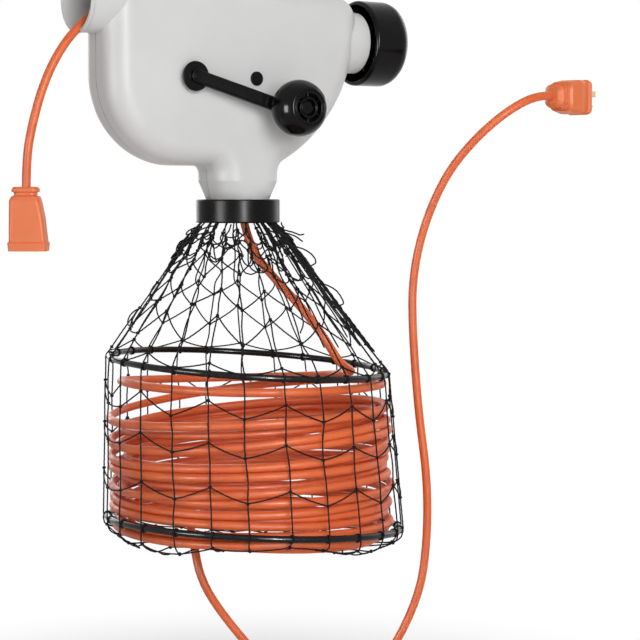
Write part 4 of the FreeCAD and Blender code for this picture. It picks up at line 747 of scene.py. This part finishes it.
class Twine:
    """Gathers round tubes with the relief of a three-ply twist into one mesh, in metres."""

    RADIUS = 0.00074
    SIDES = 8
    STEP = 0.0012       # between the rings of a tube
    LAY = 0.0055        # length of a full twist
    PLIES = 3
    RELIEF = 0.11       # of the radius
    END = 0.55          # a cut end is drawn in to this share
    KNOT_R = 0.0012
    WRAP_PITCH = 0.0015

    def __init__(self):
        self.verts = []
        self.faces = []
        self.count = 0

    def run(self, points, closed=False, resample=True):
        """One tube of twine along a line of points."""
        line = spread_line(points, self.STEP) if resample else np.array([tuple(p) for p in points])
        rings, sides = len(line), self.SIDES
        if closed:
            tangent = np.roll(line, -1, axis=0) - np.roll(line, 1, axis=0)
        else:
            tangent = np.gradient(line, axis=0)
        tangent /= np.maximum(np.linalg.norm(tangent, axis=1), 1e-9)[:, None]
        side = np.cross(tangent[0], (0.31, 0.52, 0.79))
        side /= np.linalg.norm(side)
        first = []
        for ahead in tangent:
            side = side - ahead * side.dot(ahead)
            side /= np.linalg.norm(side)
            first.append(side)
        first = np.array(first)
        second = np.cross(tangent, first)
        travelled = np.concatenate([[0], np.cumsum(np.linalg.norm(np.diff(line, axis=0), axis=1))])
        turn = np.arange(sides) * 2 * math.pi / sides
        twist = self.PLIES * turn[None, :] - 2 * math.pi * travelled[:, None] / self.LAY
        size = self.RADIUS * (1 + self.RELIEF * np.cos(twist))
        if not closed:
            size[0] *= self.END
            size[-1] *= self.END
        around = (np.cos(turn)[None, :, None] * first[:, None, :]
                  + np.sin(turn)[None, :, None] * second[:, None, :])
        self.verts.append((line[:, None, :] + size[..., None] * around).reshape(-1, 3))
        self.skin(rings, closed)

    def skin(self, rings, closed):
        """Faces of the tube whose rings were added last, with flat ends where it isn't closed."""
        base, sides = self.count, self.SIDES
        for i in range(rings if closed else rings - 1):
            here = base + i * sides
            after = base + (i + 1) % rings * sides
            for k in range(sides):
                m = (k + 1) % sides
                self.faces.append((here + k, here + m, after + m, after + k))
        if not closed:
            self.faces.append(tuple(base + k for k in reversed(range(sides))))
            self.faces.append(tuple(base + (rings - 1) * sides + k for k in range(sides)))
        self.count += rings * sides

    def knot(self, centre, along, across):
        """Two tight loops that cross over each other about a crossing of the twine."""
        along, across = along.normalized(), across.normalized()
        normal = along.cross(across).normalized()
        for tilt in (0.6, -0.6):
            axis = (along * math.cos(tilt) + across * math.sin(tilt)).normalized()
            u = axis.cross(normal).normalized()
            w = axis.cross(u)
            ring = [centre + (u * math.cos(q) + w * math.sin(q)) * self.KNOT_R
                    for q in np.linspace(0, 2 * math.pi, 12, endpoint=False)]
            self.run(ring, closed=True, resample=False)

    def wrap(self, centre, axis, size, turns):
        """Turns of twine round a rod."""
        axis = axis.normalized()
        u = axis.cross(Vector((0, 0, 1))).normalized()
        w = axis.cross(u)
        self.run([centre + (u * math.cos(q) + w * math.sin(q)) * size
                  + axis * (self.WRAP_PITCH * (q / (2 * math.pi) - turns / 2))
                  for q in np.linspace(0, 2 * math.pi * turns, int(14 * turns))], resample=False)

    def piece(self, name, replaced):
        """Makes the mesh and adds it as a piece."""
        data = bpy.data.meshes.new(name)
        data.from_pydata(np.vstack(self.verts).tolist(), [], self.faces)
        data.polygons.foreach_set("use_smooth", [True] * len(data.polygons))
        data.update()
        add_piece(name, data, "root", "net", replaced)


# Strands that the photograph shows, in degrees from the left end through the front, and
# the number of gaps between the last of them and the first round the back
STRANDS_SEEN = [32.5, 46.5, 61.8, 76.8, 90.4, 106.0, 120.4, 134.5, 148.5, 162.0, 174.0]
GAPS_BEHIND = 15
draw = random.Random(7)
strands = list(STRANDS_SEEN)
for gap in range(1, GAPS_BEHIND):
    even = STRANDS_SEEN[-1] + (360.0 + STRANDS_SEEN[0] - STRANDS_SEEN[-1]) * gap / GAPS_BEHIND
    strands.append(even + draw.uniform(-1.6, 1.6))
strands = [math.radians(a) for a in strands]
COUNT = len(strands)

# Rows of the net as (mean distance down, half the rise and fall, how slack its bars are)
CONE_ROWS = [(13.0, 5.0, 0.9), (29.0, 7.5, 0.8), (52.0, 10.0, 0.62), (87.0, 11.5, 0.4), (124.0, 13.5, 0.22),
             (167.0, 6.0, 0.0)]
WALL_ROWS = [(209.5, 9.0, 0.0), (248.5, 7.0, 0.0), (294.0, 7.5, 0.0)]
FLOOR_ROWS = [(351.0, 5.0, 0.1), (386.0, 6.0, 0.1), (422.0, 6.0, 0.15), (456.0, 5.0, 0.2)]
ROWS = CONE_ROWS + WALL_ROWS + FLOOR_ROWS


def knot_places():
    """Angle and distance down of each knot, by row and strand, less even towards the collar."""
    places = []
    for row, (middle, half, slack) in enumerate(ROWS):
        level = []
        for k in range(COUNT):
            uneven = 1.8 if row >= len(CONE_ROWS) else 3.0
            down = middle + (-half if k % 2 else half) + draw.uniform(-uneven, uneven)
            aside = 0.7 if row > 4 else 1.6 if row > 2 else 4.0
            level.append((strands[k] + math.radians(draw.uniform(-aside, aside)), max(4.0, down)))
        places.append(level)
    return places


node_at = knot_places()


def strand_points(k, first_row, last_row, start, end):
    """Points of one strand between two distances down the net."""
    angle = strands[k]
    points = [net_point(angle, start)]
    previous = start
    for row in range(first_row, last_row):
        at, down = node_at[row][k]
        if down - previous > 12.0:
            loose = 0.8 if row < len(CONE_ROWS) else 0.3
            points.append(net_point((angle + at) / 2 + math.radians(draw.uniform(-loose, loose)),
                                    (previous + down) / 2, draw.uniform(-0.5, 0.9)))
        points.append(net_point(at, down))
        previous = down
    if end - previous > 6.0:
        points.append(net_point(angle, (previous + end) / 2))
    points.append(net_point(angle, end))
    return points


LOOP_SLACK = 0.35       # bars slacker than this may hang in a loop
WAVY_SLACK = 0.15       # bars slacker than this are wavy
BAR_SHARES = (0.0, 0.12, 0.3, 0.5, 0.7, 0.88, 1.0)


def bar_points(row, k):
    """Points of one bar between two neighbouring strands: taut, wavy or hanging in a loop."""
    a0, d0 = node_at[row][k]
    a1, d1 = node_at[row][(k + 1) % COUNT]
    if a1 < a0:
        a1 += 2 * math.pi
    slack = ROWS[row][2] * draw.uniform(0.6, 1.3)
    out = draw.uniform(-0.3, 1.0) * slack * 5.0 + 0.2
    if draw.random() < slack - LOOP_SLACK:
        low = max(d0, d1) + draw.uniform(7.0, 15.0) * slack
        wide = (a1 - a0) * draw.uniform(0.0, 0.25)
        return [net_point(a0, d0), net_point(a0 - wide * 0.5, (2 * d0 + low) / 3, out * 0.5),
                net_point(a0 + (a1 - a0) * 0.18, low - 3.0, out), net_point((a0 + a1) / 2, low, out),
                net_point(a0 + (a1 - a0) * 0.84, low - 3.5, out),
                net_point(a1 + wide * 0.6, (2 * d1 + low) / 3, out * 0.5), net_point(a1, d1)]
    points = []
    for t in BAR_SHARES:
        bow = math.sin(math.pi * t)
        swing = slack * 0.35 * math.sin(2 * math.pi * t) + 0.012 * bow
        angle = a0 + (a1 - a0) * (t - swing * 0.5)
        share = t + (slack > WAVY_SLACK) * 0.5 * ((1 - math.cos(math.pi * t)) / 2 - t)
        points.append(net_point(angle, d0 + (d1 - d0) * share + 1.2 * bow, out * bow))
    return points


def build_net(rows, first_row, start, end):
    """One part of the net: its strands, bars and knots."""
    net = Twine()
    last_row = first_row + rows
    for k in range(COUNT):
        net.run(strand_points(k, first_row, last_row, start, end))
    for row in range(first_row, last_row):
        for k in range(COUNT):
            net.run(bar_points(row, k))
            angle, down = node_at[row][k]
            here = net_point(angle, down)
            net.knot(here, net_point(angle, down + 3) - here, net_point(angle + 0.03, down) - here)
    return net


# Slack loops, curls and frayed ends that the photograph shows in the cone and under the lower hoop,
# as places in degrees from the left end, millimetres down and millimetres out
CONE_LOOSE = [
    [(57, 24, 0), (60, 32, 1), (66, 42, 2), (71, 46, 2), (75, 42, 1), (79, 34, 1), (83, 28, 0), (86, 26, 0)],
    [(58, 27, 0), (62, 23, 1), (66, 26, 2), (69, 36, 2), (72, 46, 1)],
    [(82, 0, 0), (81, 8, 1), (78, 14, 2), (84, 16, 3), (91, 14, 3), (93, 10, 2), (90, 6, 2), (86, 12, 2),
     (87, 22, 0)],
    [(86, 26, 0), (91, 20, 1), (98, 20, 1), (102, 26, 2), (100, 34, 2), (99, 48, 3), (103, 55, 3),
     (109, 56, 3), (114, 50, 2), (111, 38, 1), (111, 26, 0)],
    [(111, 38, 0), (118, 31, 1), (124, 28, 2), (128, 33, 3), (125, 42, 3), (123, 50, 3), (125, 54, 2),
     (132, 50, 0)],
    [(128, 2, 0), (116, 6, 2), (119, 10, 3), (128, 12, 2), (138, 11, 0)],
    [(176, 26, 0), (178, 30, 8), (180, 37, 12), (181, 45, 10), (180, 50, 1)],
    [(176, 70, 0), (180, 72, 5), (181, 79, 10), (180, 92, 8), (178, 96, 0)],
    [(14, 40, 0), (6, 34, 4), (3, 24, 5), (16, 20, 1)],
    [(12, 110, 0), (6, 116, 3), (2, 124, 4), (12, 132, 2), (22, 134, 0)],
    [(168, 5, 0), (174, 8, 4), (178, 10, 9), (180, 13, 14), (178, 12, 19)],
    [(165, 9, 0), (171, 12, 5), (176, 15, 9), (180, 21, 12)],
    [(170, 4, 1), (174, 5, 4), (173, 2, 7), (177, -1, 9)],
    [(160, 12, 0), (164, 17, 4), (160, 22, 6), (166, 26, 4)],
    [(143, 78, 0), (146, 72, 4), (150, 66, 6)],
    [(34, 16, 0), (37, 10, 2), (44, 6, 3), (52, 3, 2), (61, 1, 0)],
    [(20, 10, 0), (34, 16, 3), (48, 19, 3), (57, 13, 2), (62, 3, 0)],
    [(12, 3, 0), (8, 9, 4), (14, 14, 5), (24, 12, 3), (30, 5, 0)],
]
FLOOR_LOOSE = [
    [(26, 348, 0), (30, 357, 1), (34, 360, 3), (39, 358, 2), (38, 350, 0)],
    [(53, 350, 0), (54, 357, 1), (56, 361, 3)],
    [(127, 346, 0), (129, 354, 1), (128, 361, 4), (130, 369, 8)],
    [(131, 350, 0), (138, 358, 2), (146, 356, 2), (152, 346, 0)],
]


def loose_ends(net, lines):
    """Slack pieces of twine through these places."""
    for places in lines:
        net.run([net_point(math.radians(a), d, out) for a, d, out in places])


def doubled_strands(net):
    """Second strands that run doubled from the collar."""
    for k in range(COUNT):
        if draw.random() < 0.45:
            angle = strands[k] + math.radians(draw.uniform(2.5, 5.5))
            end = draw.choice([52.0, 87.0, 124.0])
            net.run([net_point(angle, CONE_START)]
                    + [net_point(angle + math.radians(draw.uniform(-2, 2)), d, draw.uniform(-1, 2))
                       for d in np.linspace(12.0, end - 14.0, max(2, int(end / 22)))]
                    + [net_point(strands[k], end)])


def gathered_strands(net):
    """More strands on the right side, where the net is gathered."""
    for k in range(9):
        angle = math.radians(130.0 + 10.0 * k + draw.uniform(-2.0, 2.0))
        drift = math.radians(draw.uniform(-5.0, 5.0))
        end = draw.choice([60.0, 104.0, 140.0])
        net.run([net_point(angle - drift * (1 - d / end), d, draw.uniform(-0.5, 2.4) * (d < end))
                 for d in np.linspace(CONE_START, end, 9)])


def twisted_bunches(net):
    """Two bunches of three strands twisted about each other at the right edge."""
    for first, last in ((64.0, 100.0), (104.0, 150.0)):
        for phase in (0.0, 2.1, 4.2):
            net.run([net_point(math.radians(176.0 + 2.2 * math.cos(phase + d / 3.4)), d,
                               1.2 + 1.3 * math.sin(phase + d / 3.4)) for d in np.arange(first, last, 2.5)])


def collar_tangle(net):
    """Tangle under the collar, at the two sides."""
    for k in range(18):
        angle = draw.uniform(8, 62) if k % 2 else draw.uniform(132, 178)
        down = draw.uniform(2.0, 26.0)
        turn = draw.uniform(-9, 9)
        net.run([net_point(math.radians(angle), down),
                 net_point(math.radians(angle + turn), down + 5, 2.0),
                 net_point(math.radians(angle + turn * 1.3), down + draw.uniform(8, 14),
                           draw.uniform(0.5, 4)),
                 net_point(math.radians(angle + turn * 0.3), down + draw.uniform(12, 20), 0.0)])


def tie_to_hoop(net, hoop):
    """Turns of twine where each strand is tied round a hoop."""
    for angle in strands:
        here = on_hoop(hoop, angle, hoop["r"])
        net.wrap(here, on_hoop(hoop, angle + 0.02, hoop["r"]) - here, (HOOP_WIRE_R + 0.5) * MM,
                 turns=draw.choice([1.0, 2.0, 2.0]))


cone = build_net(len(CONE_ROWS), 0, CONE_START, CONE_SLANT)
loose_ends(cone, CONE_LOOSE)
doubled_strands(cone)
gathered_strands(cone)
twisted_bunches(cone)
collar_tangle(cone)
tie_to_hoop(cone, TOP_HOOP)
cone.piece("net_upper", ["net_cone"])

wall = build_net(len(WALL_ROWS), len(CONE_ROWS), CONE_SLANT, CONE_SLANT + WALL_DROP)
wall.piece("net_wall", ["net_side"])

floor_net = build_net(len(FLOOR_ROWS), len(CONE_ROWS) + len(WALL_ROWS), CONE_SLANT + WALL_DROP, NET_END)
loose_ends(floor_net, FLOOR_LOOSE)
tie_to_hoop(floor_net, LOW_HOOP)
floor_net.run([net_point(2 * math.pi * i / 24, NET_END) for i in range(25)])
floor_net.piece("net_floor", ["net_bottom"])


# Stage

FLOOR_Z = -0.80         # a little below the cord's lowest bend, in metres
FLOOR_RADIUS = 14.0
WHITE_FROM = 0.15       # the floor fades to plain white between these distances from its middle
WHITE_TO = 0.6
WORLD_LEVEL = 0.16      # strength of the surroundings as a light

scene.view_settings.view_transform = "Standard"


def white_paths(tree):
    """1 for the rays that see the background: from the camera, from a gloss and through glass."""
    path = add_node(tree, "LightPath")
    total = path.outputs["Is Camera Ray"]
    for other in ("Is Glossy Ray", "Is Transmission Ray"):
        more = add_node(tree, "Math")
        more.operation = "MAXIMUM"
        tree.links.new(total, more.inputs[0])
        tree.links.new(path.outputs[other], more.inputs[1])
        total = more.outputs[0]
    return total


def stage_floor():
    """Large pale floor that fades to plain white away from the object."""
    bpy.ops.mesh.primitive_circle_add(vertices=96, radius=FLOOR_RADIUS, fill_type="NGON",
                                      location=(0, 0, FLOOR_Z))
    floor = bpy.context.object
    floor.name = "stage_floor"
    mat = bpy.data.materials.new("stage_floor")
    mat.use_nodes = True
    tree = mat.node_tree
    tree.nodes.clear()
    out = add_node(tree, "OutputMaterial")
    diffuse = add_node(tree, "BsdfDiffuse", Color=(0.86, 0.86, 0.86, 1))
    white = add_node(tree, "Emission", Color=WHITE, Strength=1.0)
    mix = add_node(tree, "MixShader")
    coords = add_node(tree, "TexCoord")
    length = add_node(tree, "VectorMath")
    length.operation = "LENGTH"
    far = add_node(tree, "MapRange", From_Min=WHITE_FROM, From_Max=WHITE_TO)
    far.interpolation_type = "SMOOTHSTEP"
    both = add_node(tree, "Math")
    both.operation = "MULTIPLY"
    seen = white_paths(tree)
    for source, target in ((coords.outputs["Object"], length.inputs[0]),
                           (length.outputs["Value"], far.inputs["Value"]),
                           (far.outputs["Result"], both.inputs[0]), (seen, both.inputs[1]),
                           (both.outputs[0], mix.inputs["Fac"]), (diffuse.outputs[0], mix.inputs[1]),
                           (white.outputs[0], mix.inputs[2]), (mix.outputs[0], out.inputs["Surface"])):
        tree.links.new(source, target)
    floor.data.materials.append(mat)


def stage_world():
    """Soft pale surroundings, plain white where the camera or a gloss sees them."""
    world = bpy.data.worlds.new("surroundings")
    scene.world = world
    world.use_nodes = True
    tree = world.node_tree
    tree.nodes.clear()
    out = add_node(tree, "OutputWorld")
    mix = add_node(tree, "MixShader")
    tree.links.new(white_paths(tree), mix.inputs["Fac"])
    for slot, strength in ((1, WORLD_LEVEL), (2, 1.0)):
        background = add_node(tree, "Background", Color=WHITE, Strength=strength)
        tree.links.new(background.outputs[0], mix.inputs[slot])
    tree.links.new(mix.outputs[0], out.inputs["Surface"])


def turn_to(obj, direction):
    """Turns a lamp or a camera to look along a direction."""
    obj.rotation_mode = "QUATERNION"
    obj.rotation_quaternion = direction.to_track_quat("-Z", "Y")


LAMP_TARGET = Vector((0.0, 0.0, -0.35))


def soft_lamp(name, location, size, watts, fill=True, gloss=True):
    """Area lamp aimed at the object; without fill it gives highlights only, without gloss none."""
    data = bpy.data.lights.new(name, "AREA")
    data.shape = "RECTANGLE"
    data.size, data.size_y = size
    data.energy = watts
    lamp = bpy.data.objects.new(name, data)
    lamp.location = location
    turn_to(lamp, LAMP_TARGET - location)
    lamp.visible_diffuse = fill
    lamp.visible_glossy = gloss
    scene.collection.objects.link(lamp)


stage_floor()
stage_world()
soft_lamp("key", facing(0.85, 2.3, 0.25), (1.1, 1.3), 33)
soft_lamp("side_glint", facing(-1.62, 1.6, -0.55), (0.7, 1.4), 100, fill=False)
soft_lamp("front_glint", facing(0.8, 2.2, -0.1), (0.26, 1.1), 66, fill=False)
soft_lamp("front", facing(0.1, 2.6, 0.9), (2.4, 1.0), 17, gloss=False)
soft_lamp("top", facing(0.2, -0.2, 1.7), (1.8, 1.8), 11, gloss=False)
soft_lamp("rear", facing(-1.0, -1.9, 0.3), (1.8, 1.6), 26)
soft_lamp("rear_side", facing(1.6, -1.6, 0.3), (1.2, 1.6), 11)

# The camera, fitted to the photograph: about 2 m away, looking down by 130 mm over that distance
CAMERA_AT = (-1.0354, -1.7134, -0.259)
CAMERA_PITCH = math.atan(130.0 / 2000.0)
CAMERA_ALONG = (0.552, 0.834)  # X and Y of its direction

camera_data = bpy.data.cameras.new("camera")
camera_data.lens = 112.5
camera_data.sensor_width = 36.0
camera = bpy.data.objects.new("camera", camera_data)
camera.location = CAMERA_AT
turn_to(camera, Vector((*(c * math.cos(CAMERA_PITCH) for c in CAMERA_ALONG), -math.sin(CAMERA_PITCH))))
scene.collection.objects.link(camera)
scene.camera = camera
